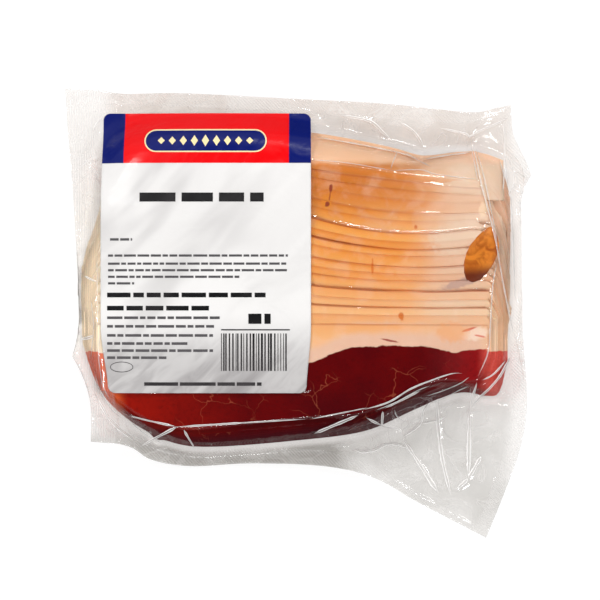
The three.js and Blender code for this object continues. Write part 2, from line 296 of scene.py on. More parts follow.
# %% [markdown]
# Each rasher is a thickness lower than the one above. Where it comes out from under that one it bends
# up steeply through a narrow groove, and the rest of the strip that shows rises gently to its rind. The
# film presses some edges flush and leaves others proud, so every edge has a groove depth of its own.
# Near the rear crest the upper rashers roll over with the side of the stack.

# %% How high a rasher lies
THICKNESS = 2.05 * MM
RASHERS = 31
FILM_GAP = 0.35 * MM
# From the front edge rearwards: 0 is pressed flush, 1 shows the whole thickness.
GROOVES = [0.4, 0.12, 0.7, 0.15, 1.0, 0.3, 0.12, 0.4, 0.15,
           0.8, 0.1, 0.9, 0.0, 0.15, 0.0, 0.15, 0.3, 0.25]
HIDDEN_GROOVE = 0.5
rolled = smoothstep(40 * MM, 52 * MM, map_y)
rolled_plateau = plateau + (np.minimum(plateau, side + 0.2 * MM) - plateau) * rolled
rim_waver = waves(5, 12 * MM, 70 * MM)
level_waver = waves(6, 25 * MM, 120 * MM)
press_waver = waves(7, 18 * MM, 80 * MM)


def groove_behind(number):
    return GROOVES[number] if 0 <= number < len(GROOVES) else HIDDEN_GROOVE


def rasher_level(number, x, y):
    """The upper side of a rasher: level at the front, then climbing to its rind."""
    passed = sample(edges_passed, x, y)
    climb = 0.5 * (passed + np.sqrt(passed * passed + 0.12))
    above = np.maximum(number - climb, 0)
    groove = groove_behind(number - 1)
    gentle = 0.10 + 0.22 * groove
    steep_from = 0.93 - 0.26 * groove
    drop = (0.28 + 0.72 * groove) * (0.84 + 0.3 * level_waver(x + number * 0.031, y * 0))
    drop = np.clip(drop, gentle + 0.05, 1)
    strip = gentle * above + (drop - gentle) * smoothstep(steep_from, 1, above)
    covered = above - (1 - drop) * smoothstep(1.35, 1, above)
    depth = np.where(above < 1, strip, covered) * THICKNESS
    sway = 0.35 * MM * level_waver(x + number * 0.017, y) * smoothstep(0, 4, above)
    lift = 0.16 * MM * press_waver(x, y * 0 + number * 0.05) * smoothstep(1.4, 0.4, above)
    base = rolled_plateau if number <= EDGES else plateau
    return sample(base, x, y) - FILM_GAP - depth + sway - np.abs(lift)


print("grooves", len(GROOVES), "the deepest behind edge", int(np.argmax(GROOVES)))

# %% [markdown]
# A rasher ends where the side of the stack falls below it, at the stack's foot, and at its own rind. All
# of these are written as distances that are positive inside, so the least of them says where the
# rasher is. The ends of the longest positive stretch are then found in every column of the map.

# %% Where a rasher ends
REAR_INSET = 4
trimmed_side = np.where(map_y > 0, np.minimum(side, np.roll(side, -REAR_INSET, axis=1)), side)
foot_field = (side - BELLY) * 0.7


def rasher_field(number):
    """Positive where the rasher is: within the side of the stack and short of its own rind line."""
    level = rasher_level(number, map_x, map_y)
    under_side = trimmed_side + 0.6 * MM - level
    if number <= EDGES:
        under_side = under_side + 1.4 * MM * rolled - (plateau - rolled_plateau)
    foot = foot_field - (level < BELLY) * 0.12 * (BELLY - level)
    closed = 0.10 * (1 - groove_behind(number)) - 0.02
    reach = number + closed + 0.03 * rim_waver(map_x, map_y * 0 + number * 0.017)
    short_of_rind = (reach - edges_passed) * STEP_LEFT * 1.5 if number <= EDGES else 1.0
    above_floor = level - THICKNESS - 0.4 * MM
    return np.minimum(np.minimum(under_side, foot), np.minimum(short_of_rind, above_floor))


def crossings(values, places):
    """Both ends of the longest positive stretch in a row of values, found between two cells."""
    marks = np.concatenate([[0], (values > 0).astype(int), [0]])
    starts = np.nonzero(np.diff(marks) == 1)[0]
    stops = np.nonzero(np.diff(marks) == -1)[0] - 1
    longest = int(np.argmax(stops - starts))
    ends = []
    for k, j in ((starts[longest], starts[longest] - 1), (stops[longest], stops[longest] + 1)):
        share = values[k] / (values[k] - values[j])
        ends.append(places[k] + (places[j] - places[k]) * share)
    return ends


def running_mean(values):
    """The mean of five neighbours along a line."""
    return np.convolve(np.pad(values, 2, mode="edge"), np.ones(5) / 5, mode="valid")


def rasher_extent(number, columns):
    """Columns from left to right, with the y of the front and the rear of the rasher on each."""
    field = rasher_field(number)
    filled = np.nonzero((field > 0).sum(axis=1) > 16)[0]
    x_low, x_high = grid_x[filled[0]], grid_x[filled[-1]]
    even = np.linspace(0, 1, columns + 1)
    close_at_ends = 0.5 - 0.5 * np.cos(math.pi * even)
    xs = x_low + (x_high - x_low) * (0.45 * close_at_ends + 0.55 * even)
    fronts, rears = np.array([crossings(field[i], grid_y) for i in filled]).T
    return xs, *[np.interp(xs, grid_x[filled], running_mean(ends)) for ends in (fronts, rears)]


print("top rasher reaches y mm", round(float(rasher_extent(0, 2)[2][1]) / MM, 1), "in the middle")

# %% [markdown]
# The slab itself starts as a flat grid. Its rows are set close together near the front and the rind,
# where the shape turns quickly. The rim that Solidify makes is found by its sharp angle and rounded,
# more where the groove behind it is deep.

# %% Rashers
COLUMNS = 92
REAR_OFFSETS = np.array([0, 0.25, 0.7, 1.5, 2.5, 3.2, 3.65, 4.05, 4.45, 5.0, 6.5]) * MM
FRONT_OFFSETS = np.array([0, 0.4, 1.2, 3.0, 6.0]) * MM
INNER_ROWS = 13
ROWS = len(FRONT_OFFSETS) + INNER_ROWS + len(REAR_OFFSETS) - 1
SHORTEST = 22 * MM


def row_shares(length):
    """Shares of the way from front to rear, close together near both ends."""
    front = FRONT_OFFSETS / length
    rear = 1 - REAR_OFFSETS[::-1] / length
    inner = np.linspace(front[-1], rear[0], INNER_ROWS + 2)[1:-1]
    return np.concatenate([front, inner, rear])


def make_rasher(number):
    xs, fronts, rears = rasher_extent(number, COLUMNS)
    bm, column, row = flat_grid(COLUMNS, ROWS)
    shares = np.array([row_shares(length) for length in np.maximum(rears - fronts, SHORTEST)])
    x = xs[column]
    y = fronts[column] + (rears - fronts)[column] * shares[column, row]
    move_points(bm, x, y, rasher_level(number, x, y))
    bmesh.ops.recalc_face_normals(bm, faces=bm.faces)
    face_up(bm)
    bmesh.ops.solidify(bm, geom=bm.faces[:], thickness=THICKNESS - 0.06 * MM)
    rim = [e for e in bm.edges if len(e.link_faces) == 2 and e.calc_face_angle(0) > 0.9]
    rounding = (0.25 + 0.4 * groove_behind(number)) * MM
    bmesh.ops.bevel(bm, geom=rim, offset=rounding, segments=2, affect="EDGES", profile=0.5, material=-1,
                    clamp_overlap=True)
    piece = new_object(f"rasher_{number + 1:02d}", bm)
    x, y, _ = points_of(piece.data).T
    from_rind = np.maximum(rind_edge(float(number), x) - y, 0)
    keep_values(piece, from_rind=from_rind, into_lean=from_rind - fat_width(x, number),
                tone=np.random.default_rng(100 + number).uniform(), groove=groove_behind(number))
    return piece


rashers = [make_rasher(number) for number in range(RASHERS)]
for rasher in rashers:
    belongs(rasher, "bag")
print("rashers", len(rashers), "faces", sum(len(r.data.polygons) for r in rashers))

# %% [markdown]
# At the rear the last rashers are pressed over the crest and cover the ends of those below. They are
# one smooth sheet of fat in the real pack. It is a grid again. It starts hidden, tucked under the
# rearmost rinds, comes up where the crest begins to fall, and runs down the rear side of the stack.

# %% The fat sheet that rolls over the rear crest
SHEET_START = EDGES - 2.6
SHEET_THICKNESS = 1.6 * MM
SHEET_COLUMNS, SHEET_ROWS = 96, 44
SHEET_LEFT = bag_low[0] + 22 * MM
SHEET_RIGHT = 98.5 * MM
SHEET_TUCK = 1.3 * MM


def make_rear_sheet():
    xs = np.linspace(SHEET_LEFT, SHEET_RIGHT, SHEET_COLUMNS + 1)
    tops = rind_edge(SHEET_START, xs)
    foot = side - BELLY * 0.92
    bottoms = [crossings(sample(foot, np.full(grid_y.shape, x), grid_y), grid_y)[1] for x in xs]
    bottoms = np.maximum(np.array(bottoms), tops + 2 * MM)
    bm, column, row = flat_grid(SHEET_COLUMNS, SHEET_ROWS)
    x = xs[column]
    y = tops[column] + (bottoms - tops)[column] * row / SHEET_ROWS
    fallen = sample(plateau, x, y) - sample(side, x, y)
    tucked = smoothstep(EDGES + 0.3, EDGES - 0.9, sample(edges_passed, x, y))
    tucked = tucked * smoothstep(0.9 * MM, 0.1 * MM, fallen)
    z = np.minimum(sample(plateau, x, y), sample(side, x, y)) - FILM_GAP - SHEET_TUCK * tucked
    move_points(bm, x, y, z)
    bmesh.ops.recalc_face_normals(bm, faces=bm.faces)
    face_up(bm)
    bmesh.ops.smooth_vert(bm, verts=bm.verts, factor=0.5, use_axis_x=False, use_axis_y=False, use_axis_z=True)
    bmesh.ops.solidify(bm, geom=bm.faces[:], thickness=SHEET_THICKNESS)
    piece = new_object("rear_fat_sheet", bm)
    x, y, _ = points_of(piece.data).T
    from_rind = 6 * MM + 1.5 * MM * fat_waver(x, y + 0.3)
    keep_values(piece, from_rind=from_rind, into_lean=-12 * MM, tone=0.3, groove=0)
    return piece


rear_sheet = make_rear_sheet()
belongs(rear_sheet, "bag")
print("rear sheet faces", len(rear_sheet.data.polygons))

# %% [markdown]
# A loose oval of smoked rind lies on the fan near the right side, under the film. It is a squashed
# sphere, flatter below, that is bent to the ground under it, with a thicker tip at the front.

# %% The loose piece of rind
FLAP_X = 86.8 * MM
FLAP_Y = 28.0 * MM
FLAP_HALF_WIDTH = 7.6 * MM
FLAP_HALF_LENGTH = 13.3 * MM
FLAP_HEIGHT = 1.9 * MM
FLAP_LEAN = 4.3 * MM


def make_flap():
    bm = bmesh.new()
    bmesh.ops.create_icosphere(bm, subdivisions=4, radius=1)
    for v in bm.verts:
        across, along, up = v.co
        taper = 1 - 0.40 * max(along, 0) ** 2 - 0.05 * max(-along, 0)
        x = FLAP_X + across * FLAP_HALF_WIDTH * taper + FLAP_LEAN * along
        y = FLAP_Y + along * FLAP_HALF_LENGTH
        ground = float(sample(plateau, x, y)) - 1.0 * MM
        tip = 1 + 0.25 * max(-along - 0.4, 0)
        crown = math.copysign(abs(up) ** 0.7, up)
        v.co = (x, y, ground + crown * FLAP_HEIGHT * tip * (0.85 if up > 0 else 0.4))
    return new_object("rind_flap", bm)


rind_flap = make_flap()
belongs(rind_flap, "bag")
print("contents", len(rashers) + 2, "pieces")

# %% [markdown]
# The film is one closed bag: an upper and a lower sheet that meet along the sealed edge. The edge is
# read from the CAD bag, where only the faces along that edge stand exactly upright. A smooth curve runs
# through their points, broken only at the four corners.

# %% The sealed edge, from the frame
HUB = np.array([-2.0, 10.0]) * MM


def sealed_edge():
    """The rim of the CAD bag: the only faces that stand exactly upright join its two layers."""
    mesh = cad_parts["bag"].data
    upright = [f for f in mesh.polygons if abs(f.normal.z) < 1e-4]
    rim = points_of(mesh)[sorted({i for f in upright for i in f.vertices})]
    angle = np.arctan2(rim[:, 1] - HUB[1], rim[:, 0] - HUB[0])
    order = np.argsort(angle)
    groups = np.concatenate([[0], np.cumsum(np.diff(angle[order]) > 2e-4)])
    return np.array([rim[order][groups == g].mean(axis=0) for g in range(groups[-1] + 1)])


def curve(start, leaving, stop, arriving, t):
    """A place on the smooth curve between two knots, from their places and the headings there."""
    return ((2 * t**3 - 3 * t**2 + 1) * start + (t**3 - 2 * t**2 + t) * leaving
            + (-2 * t**3 + 3 * t**2) * stop + (t**3 - t**2) * arriving)


def smooth_loop(points, steps=8, sharp=0.7):
    """A curve through the points, in straight-ended runs where the loop turns sharply."""
    count = len(points)
    ahead = np.roll(points, -1, axis=0) - points
    heading = np.arctan2(ahead[:, 1], ahead[:, 0])
    turn = np.abs((heading - np.roll(heading, 1) + math.pi) % (2 * math.pi) - math.pi)
    corner = turn > sharp
    tangent = (np.roll(points, -1, axis=0) - np.roll(points, 1, axis=0)) / 2
    path = []
    for k in range(count):
        a, b = points[k], points[(k + 1) % count]
        ta = (b - a) if corner[k] else tangent[k]
        tb = (b - a) if corner[(k + 1) % count] else tangent[(k + 1) % count]
        path.extend(curve(a, ta, b, tb, t) for t in np.linspace(0, 1, steps, endpoint=False))
    return np.array(path), int(corner.sum())


edge_points = sealed_edge()
edge_path, corners_found = smooth_loop(edge_points)
print("sealed edge", len(edge_points), "points", corners_found, "corners")

# %% [markdown]
# Vacuum film behaves like a stretched skin that is pushed down by the air. That can be worked out on
# the maps: every cell settles to the mean of its neighbours, less a little for the air pressure, but
# never below what lies under it. After some hundred rounds the film spans the grooves between the
# rinds, hugs the crest and runs tight to the sealed edge. The CAD bag's own levels are the start.

# %% What lies under the upper film
contents_tree = surface_tree(*rashers, rear_sheet, rind_flap)
contents_top = drop_rays(contents_tree, map_x, map_y)
over_contents = ~np.isnan(contents_top)
bag_under = drop_rays(bag_tree, map_x, map_y, upwards=True)
path_angle = np.arctan2(edge_path[:, 1] - HUB[1], edge_path[:, 0] - HUB[0])
path_order = np.argsort(path_angle)
path_radius = np.hypot(edge_path[:, 0] - HUB[0], edge_path[:, 1] - HUB[1])


def edge_along(values, x, y):
    """Reads a value that is kept along the sealed edge, in the direction of a place."""
    angle = np.arctan2(np.asarray(y) - HUB[1], np.asarray(x) - HUB[0])
    return np.interp(angle, path_angle[path_order], values[path_order], period=2 * math.pi)


map_radius = np.hypot(map_x - HUB[0], map_y - HUB[1])
inside_edge = edge_along(path_radius, map_x, map_y) - map_radius
edge_level = edge_along(edge_path[:, 2], map_x, map_y)
outside_stack = smoothstep(BELLY, BELLY - 3 * MM, side)
print("film area", round(float((inside_edge > 0).sum()) * CELL * CELL * 1e4), "cm2")

# %% [markdown]
# The lower film lies flat under the stack. Where there is no meat on it, it lifts a little from the
# table, and near the sealed edge it rises to meet the upper one. It keeps to the CAD bag's underside.

# %% Lower film
SEAL_GAP = 0.10 * MM
under_filled = np.where(np.isnan(bag_under), edge_level, bag_under)
near_edge = smoothstep(9 * MM, 0, inside_edge)
lower_level = under_filled + 0.40 * MM * outside_stack + 0.05 * MM
lower_level = blur(lower_level, 1.5)
lower_level = np.maximum(lower_level, 0.02 * MM)
lower_level = lower_level * (1 - near_edge) + (edge_level - SEAL_GAP / 2) * near_edge
lower_level = np.where(inside_edge > 0, lower_level, edge_level)
print("lower film rises mm", round(float(lower_level.max()) / MM, 1))

# %% [markdown]
# The upper film starts at the CAD bag's own top and is let down round by round. What lies under it is
# the contents, widened by a cell and blurred a little, so that the film bridges fine edges.

# %% Upper film, drawn down over the contents
PRESSURE = 0.035 * MM
ROUNDS = 420
floor_level = lower_level + SEAL_GAP
contents_level = np.nan_to_num(contents_top)


def widened(levels, cells, axes):
    """Raises every cell of a map to its highest neighbour, along each axis in turn."""
    for axis in axes:
        levels = np.maximum(levels, np.maximum(np.roll(levels, cells, axis), np.roll(levels, -cells, axis)))
    return levels


resting = widened(np.where(over_contents, contents_level + 0.13 * MM, 0), 1, (0, 1))
resting = np.where(over_contents, np.maximum(blur(resting, 1.1), contents_level + 0.05 * MM), 0)
obstacle = np.maximum(floor_level, resting)
upper_level = np.maximum(np.where(in_bag, bag_top + 0.3 * MM, edge_level), obstacle)
at_seal = inside_edge <= 0.5 * CELL


def settle(level, rounds, pressure, held):
    """Relaxes the film: neighbours' mean, less the pressure, never under the obstacle."""
    for _ in range(rounds):
        near, far = np.roll(level, 1, 0), np.roll(level, -1, 0)
        left, right = np.roll(level, 1, 1), np.roll(level, -1, 1)
        pushed = np.maximum((near + far + left + right) / 4 - pressure, obstacle)
        level = np.where(held, level, pushed)
    return level


upper_level = settle(upper_level, ROUNDS, PRESSURE, at_seal)
print("rounds of settling", ROUNDS)

# %% [markdown]
# The label is stuck to the film, and the two together are stiffer than film alone. So the label's own
# level is settled first: close over the relaxed film, never far below the CAD plate, and with shallow
# waves where it has pulled. The film under it is then held against it, and the rest settles again.

# %% The label's level
label_low, label_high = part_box("label")
label_map = drop_rays(surface_tree(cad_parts["label"]), map_x, map_y)
on_plate = ~np.isnan(label_map)
plate_level = np.nan_to_num(label_map)
for sigma in (2.2, 5, 9):
    known = blur(on_plate.astype(float), sigma) > 0.02
    plate_level = np.where(on_plate, plate_level, blur(plate_level, sigma, on_plate))
    on_plate = on_plate | known
label_pull = waves(51, 35 * MM, 110 * MM)(map_x * 1.5, map_y)
fine_pull = waves(52, 9 * MM, 24 * MM)(map_x + map_y, map_y - map_x)
label_level = np.maximum(blur(upper_level, 8) + 0.5 * MM, blur(plate_level, 2.2) - 1.0 * MM)
label_level = label_level + (0.35 * MM * label_pull + 0.05 * MM * fine_pull)
cover = widened(np.where(over_contents, contents_level, 0), 2, (0, 1, 0, 1, 0, 1))
label_level = np.maximum(label_level, blur(cover, 3) + 0.35 * MM)
label_level = blur(label_level, 5)
LABEL_GLUE = 0.3 * MM
LABEL_INSET = 0.8 * MM
under_label = (map_x > label_low[0] + LABEL_INSET) & (map_x < label_high[0] - LABEL_INSET)
under_label &= (map_y > label_low[1] + LABEL_INSET) & (map_y < label_high[1] - LABEL_INSET)
upper_level = np.where(under_label, label_level - LABEL_GLUE, upper_level)
upper_level = settle(upper_level, ROUNDS // 2, PRESSURE, at_seal | under_label)
film_slope = np.hypot(*np.gradient(upper_level, CELL))
FREE_GAP = 5 * MM
gap = np.where(over_contents, upper_level - contents_level, FREE_GAP)
gap = np.minimum(gap / np.sqrt(1 + film_slope**2), FREE_GAP)
print("film gap over contents, mean mm", round(float(gap[over_contents].mean()) * 1000, 2))

# %% [markdown]
# Where the film spans air it is full of creases. The long ones that give the pack its look are listed
# one by one: lines of points with a width and a height. A raised one lifts the film round it and carries a
# rib, the others are ribs alone, and a negative height makes a furrow without a rib.

# %% Creases of the film
def crease(width, height, *line, white=1.0, raised=True):
    """One crease in millimetres: its width, height and points, and how white its rib's painted highlight is.
    """
    return {"line": line, "width": width, "height": height, "white": white, "raised": raised}


CREASES = [
    crease(2.3, 1.4, (50, -59.8), (67.7, -86.8)),
    crease(1.0, -0.8, (52.5, -60.5), (70.5, -87.5)),
    crease(2.1, 1.3, (67.2, -41.6), (67.2, -51), (69.1, -68.8), (73.4, -87.5)),
    crease(2.2, 1.6, (82.5, -41.6), (82.2, -60), (82, -79.5)),
    crease(2.6, 1.5, (82, -79.5), (76, -85.1)),
    crease(2.2, 1.3, (82, -79.5), (88.2, -68.8)),
    crease(1.5, 1.5, (83, -45.7), (88.7, -38.2), (96.6, -29.4), (102.1, -20.6)),
    crease(0.9, 0.8, (87, -31.8), (93, -28.7), (99.7, -22)),
    crease(1.2, 1.0, (84.7, -32.5), (83.5, -40.2), (83, -45.7)),
    crease(0.8, 0.9, (83.7, 85.5), (86.6, 64.3), (91.3, 44.7), (94.3, 30.2), (97.7, 14), (102, -3.9),
           (106.3, -17.6), (109.2, -35.5), white=0.75),
    crease(0.6, 0.6, (85.4, 79.7), (88.7, 64.3), (92.5, 44.7), (94.7, 29.5), white=0.6),
    crease(0.7, 0.8, (94.3, 25), (92.2, 13.2), (91.3, -1.3), (90.1, -17.6), (85, -30.2), white=0.7),
    crease(1.3, 1.1, (50, -59.8), (58.6, -53.3), (60, -46.7), (62.3, -42.7)),
    crease(1.2, 0.9, (58.6, -53.3), (67.2, -51.3), (71.5, -49.1)),
    crease(1.2, 1.0, (31.8, -49.1), (40.9, -54), (48.6, -55.9), (50, -59.8)),
    crease(1.0, 0.8, (40, -46.2), (40, -54)),
    crease(1.8, 1.2, (6.5, -57.8), (17, -53), (29, -47.7)),
    crease(1.0, 0.7, (40.8, -44.9), (58.3, -36.2)),
    crease(1.5, 1.4, (25.9, -65.2), (30.9, -66.6), (36.8, -65.7), (42.2, -63.2), (47.6, -63.2),
           (52.9, -65.2)),
    crease(1.5, 1.4, (-75.5, -63.8), (-64.9, -57.6), (-57.1, -53.3)),
    crease(1.0, 0.8, (-54.2, -55), (-49.9, -64.1)),
    crease(1.8, 1.4, (-104.7, -12.4), (-100, -11.5), (-97.2, -10.4)),
    crease(1.2, 1.0, (-98, -38), (-90, -52), (-78, -62)),
    crease(1.6, 1.4, (20, 95.5), (34.2, 92.7), (41, 87), (45.2, 83.6)),
    crease(1.5, 1.2, (48.6, 92.3), (56, 87), (60.5, 80.3)),
    crease(1.2, 1.3, (67.7, 89.4), (80.1, 86.5), (82.3, 85.1), (87.8, 88), (98.3, 92.7), (100.7, 95.6)),
    crease(1.0, 1.0, (98.8, 93.2), (99.5, 73.1), (100.7, 60.9)),
    crease(1.0, 0.7, (102.1, 56.4), (104.2, 6.2)),
    crease(0.5, 0.5, (82.6, 84.5), (84.4, 70), (85.4, 63), white=0.5),
    crease(0.9, 0.5, (-81.9, -48.2), (-70.9, -50.6), (-57.6, -53.4), raised=False),
    crease(0.9, 0.5, (-59, -53.6), (-47, -52.9), (-23, -51.4), (5.5, -49.7), raised=False),
    crease(0.6, 0.4, (5.5, -49.9), (18, -47.4), (32.8, -44.4), raised=False),
    crease(0.8, 0.5, (30, -45.6), (42.6, -41.8), (52.9, -35.6), (62.9, -31.5), (72.5, -28.4),
           (77.7, -28.2), raised=False),
    crease(0.5, 0.3, (36, -46), (47, -41.5), (56, -36.5), (63, -33.8), raised=False),
    crease(0.6, 0.5, (60, -39.5), (68, -37), (76, -33.5), (81, -30), white=0.8),
    crease(0.5, 0.4, (63, -43), (70, -40.5), (77, -36.5), (82, -34), white=0.8),
    crease(0.5, 0.4, (45.5, -45.5), (47.5, -49.5), (53, -53), white=0.7),
    crease(0.7, 0.5, (-80, -52), (-73, -58), (-66, -62), white=0.8),
    crease(0.5, 0.3, (6.3, 73.2), (22.3, 71.8), (40, 68.8), (46, 67.8), white=0.45, raised=False),
    crease(0.5, 0.3, (44, 67.9), (58.1, 68.4), (65.8, 66.2), (85.7, 63.9), white=0.5, raised=False),
    crease(0.6, 0.3, (6.6, 85), (27, 81.6), (47.6, 77.4), (59.3, 73.8), white=0.8, raised=False),
    crease(0.6, 0.3, (60, 74), (72, 76), (83.5, 77.5), white=0.8, raised=False),
    crease(0.5, 0.4, (47.6, 78), (45.4, 73), (43.8, 68.6), white=0.5, raised=False),
    crease(0.5, 0.4, (50.5, 78), (57.2, 73.4), (62.9, 70), white=0.5, raised=False),
    crease(0.9, 0.9, (99, 78), (102.5, 72), (103.8, 64), (101.2, 57)),
    crease(0.7, 0.8, (103, 77), (107.5, 70.5), (108.6, 63)),
    crease(0.6, 0.7, (100.5, 71), (106.5, 67.5), (110.3, 64.5)),
    crease(0.7, 0.7, (103, 60.5), (106.5, 57.8), (108.6, 58.8)),
    crease(0.6, 0.6, (96.5, 74), (98.5, 66), (97.8, 58), white=0.7),
    crease(1.1, 0.9, (-98.7, 87.8), (-96.5, 91.8), (-94.4, 94.6)),
    crease(1.0, 0.9, (-101.9, 73), (-97.5, 68), (-94.8, 62), white=0.8),
    crease(1.0, 0.8, (-102, 18), (-98.2, 16.2), (-95.2, 15.2)),
    crease(0.6, 0.5, (-98.5, 8), (-97.2, -6), (-98.8, -22), white=0.6),
    crease(0.5, 0.5, (-95.5, 30), (-95.2, 10), (-95, -8), white=0.5),
    crease(0.6, 0.6, (-93.8, -8), (-94.6, -20), (-93, -32), (-89, -43), white=0.6),
    crease(0.7, 0.7, (-97.5, -28), (-94.5, -37), (-90, -45), (-85, -50), white=0.8),
]
print("creases", len(CREASES), "of which raised", sum(item["raised"] for item in CREASES))

# %% [markdown]
# A raised crease is a sharp-topped ridge that fades out at both ends, added to a map of relief. The
# crumple between the creases is a sum of sine waves folded at their zero lines, which leaves straight
# ridges in many directions. The crumple is added only where the film is loose, so it lifts nothing off
# the meat.

# %% Relief of the loose film
def rounded_line(points, spacing=1.0 * MM):
    """A smooth line through the given points (millimetres), as evenly spaced places."""
    knots = np.array(points, float) * MM
    if len(knots) > 2:
        heading = np.gradient(knots, axis=0)
        dense = [curve(knots[k], heading[k], knots[k + 1], heading[k + 1], t)
                 for k in range(len(knots) - 1) for t in np.linspace(0, 1, 12, endpoint=False)]
        knots = np.array([*dense, knots[-1]])
    length = np.concatenate([[0], np.cumsum(np.hypot(*np.diff(knots, axis=0).T))])
    stations = np.linspace(0, length[-1], max(4, int(length[-1] / spacing)))
    return np.column_stack([np.interp(stations, length, knots[:, a]) for a in (0, 1)])


def add_ridge(field, line, width, height):
    """Adds a sharp-topped ridge to a map along a line, fading out at both ends."""
    reach = 4 * width
    low, high = line.min(axis=0) - reach, line.max(axis=0) + reach
    i = slice(*np.searchsorted(grid_x, (low[0], high[0])))
    j = slice(*np.searchsorted(grid_y, (low[1], high[1])))
    x, y = map_x[i, j], map_y[i, j]
    nearest = np.full(x.shape, 1e9)
    along = np.zeros(x.shape)
    for k, place in enumerate(line):
        away = np.hypot(x - place[0], y - place[1])
        closer = away < nearest
        nearest = np.where(closer, away, nearest)
        along = np.where(closer, k / (len(line) - 1), along)
    fade = np.clip(np.sin(math.pi * np.clip(along, 0.04, 0.96)) * 1.6, 0, 1)
    field[i, j] += height * fade * np.exp(-nearest / width)


def crumple(seed, shortest, longest, count):
    """Sharp ridges in many directions: the sum of sine waves folded at their zero lines."""
    rng = np.random.default_rng(seed)
    total = np.zeros(map_x.shape)
    warp = waves(seed + 1, 30 * MM, 90 * MM)(map_x, map_y) * 4 * MM
    for length in np.exp(rng.uniform(math.log(shortest), math.log(longest), count)):
        heading, phase = rng.uniform(0, 2 * math.pi, 2)
        ahead = (map_x + warp) * math.cos(heading) + (map_y - warp) * math.sin(heading)
        total += length * (1 - np.abs(np.sin(math.pi * ahead / length + phase)))
    return total / count


crease_relief = np.zeros(map_x.shape)
for item in CREASES:
    if item["raised"]:
        add_ridge(crease_relief, rounded_line(item["line"]), item["width"] * MM * 0.6, item["height"] * MM)
loose = smoothstep(0.25 * MM, 1.6 * MM, gap)
seal_band = smoothstep(8.5 * MM, 6.5 * MM, inside_edge)
free_film = loose * (1 - 0.75 * seal_band) * (1 - blur(under_label.astype(float), 3))
crumple_relief = crumple(31, 6 * MM, 22 * MM, 9) * 0.10
waver_relief = waves(33, 22 * MM, 60 * MM)(map_x, map_y) * 0.5 * MM
inner_fade = smoothstep(0, 3 * MM, inside_edge)
crease_relief = np.where(under_label, 0, crease_relief)
relief = free_film * (crumple_relief + np.abs(waver_relief)) + crease_relief
upper_level = np.maximum(upper_level + inner_fade * relief, obstacle)
upper_level = np.where(under_label, label_level - LABEL_GLUE, np.maximum(blur(upper_level, 0.6), floor_level))
print("highest film mm", round(float(upper_level.max()) / MM, 1))

# %% [markdown]
# The film's mesh is a grid with close columns where the film shows and wider ones under the label.
# Points just outside the sealed edge are pulled onto it, and the faces beyond it are deleted. The
# levels come from the maps. Two values stay on each point for the material: how far the film stands
# off the meat, and how deep the point lies inside the sealed edge.

# %% Film sheets
def nearest_on_edge(places):
    """The nearest points of the sealed edge, with their levels."""
    a = edge_path
    b = np.roll(edge_path, -1, axis=0)
    run = (b - a)[:, :2]
    t = ((places[:, None, :2] - a[None, :, :2]) * run).sum(-1) / np.maximum((run**2).sum(-1), 1e-12)
    t = np.clip(t, 0, 1)[..., None]
    spots = a[None] + (b - a)[None] * t
    away = np.hypot(spots[..., 0] - places[:, None, 0], spots[..., 1] - places[:, None, 1])
    return spots[np.arange(len(places)), np.argmin(away, axis=1)]


def make_sheet(xs, ys, levels, facing_up):
    bm, column, row = flat_grid(len(xs) - 1, len(ys) - 1)
    places = np.column_stack([xs[column], ys[row], sample(levels, xs[column], ys[row])])
    x, y, _ = places.T
    depth = edge_along(path_radius, x, y) - np.hypot(x - HUB[0], y - HUB[1])
    border = np.nonzero((depth <= 0) & (depth > -8 * MM))[0]
    for part in np.array_split(border, max(1, len(border) // 4000)):
        places[part] = nearest_on_edge(places[part])
    move_points(bm, *places.T)
    bm.verts.ensure_lookup_table()
    beyond = [f for f in bm.faces if all(depth[v.index] <= 0 for v in f.verts)]
    bmesh.ops.delete(bm, geom=beyond, context="FACES")
    stray = [v for v in bm.verts if not v.link_faces]
    bmesh.ops.delete(bm, geom=stray, context="VERTS")
    if (sum(f.normal.z for f in bm.faces) < 0) == facing_up:
        bmesh.ops.reverse_faces(bm, faces=bm.faces)
    return bm


def spread(start, stop, pitch):
    return np.linspace(start, stop, max(2, int(round((stop - start) / pitch)) + 1))


FINE, MEDIUM, WIDE, BACK = 0.62 * MM, 0.8 * MM, 1.5 * MM, 1.4 * MM
OVERLAP = 2 * MM
STAND_OFF_LIMIT = 6 * MM
left_of_label = label_low[0] + 1 * MM
right_of_label = label_high[0] - 2 * MM
film_xs = np.concatenate([spread(bag_low[0] - OVERLAP, left_of_label, MEDIUM)[:-1],
                          spread(left_of_label, right_of_label, WIDE)[:-1],
                          spread(right_of_label, bag_high[0] + OVERLAP, FINE)])
film_ys = spread(bag_low[1] - OVERLAP, bag_high[1] + OVERLAP, FINE)
back_xs = spread(bag_low[0] - OVERLAP, bag_high[0] + OVERLAP, BACK)
back_ys = spread(bag_low[1] - OVERLAP, bag_high[1] + OVERLAP, BACK)
film_front = new_object("film_front", make_sheet(film_xs, film_ys, upper_level, True))
film_back = new_object("film_back", make_sheet(back_xs, back_ys, lower_level, False))
for sheet in (film_front, film_back):
    nearest = [contents_tree.find_nearest(v.co, STAND_OFF_LIMIT)[3] for v in sheet.data.vertices]
    stand_off = [STAND_OFF_LIMIT if away is None else away for away in nearest]
    x, y, _ = points_of(sheet.data).T
    keep_values(sheet, stand_off=stand_off, inside=sample(np.maximum(inside_edge, 0), x, y))
    belongs(sheet, "bag")
print("film faces", len(film_front.data.polygons), len(film_back.data.polygons))

# %% [markdown]
# The label is a sheet of coated paper stuck on the film. Its grid follows the CAD plate, whose corners
# are rounded, with two shallow waves where the film under it has pulled. Everything on the label is
# first laid out flat, and its points are then lifted onto the label's level.

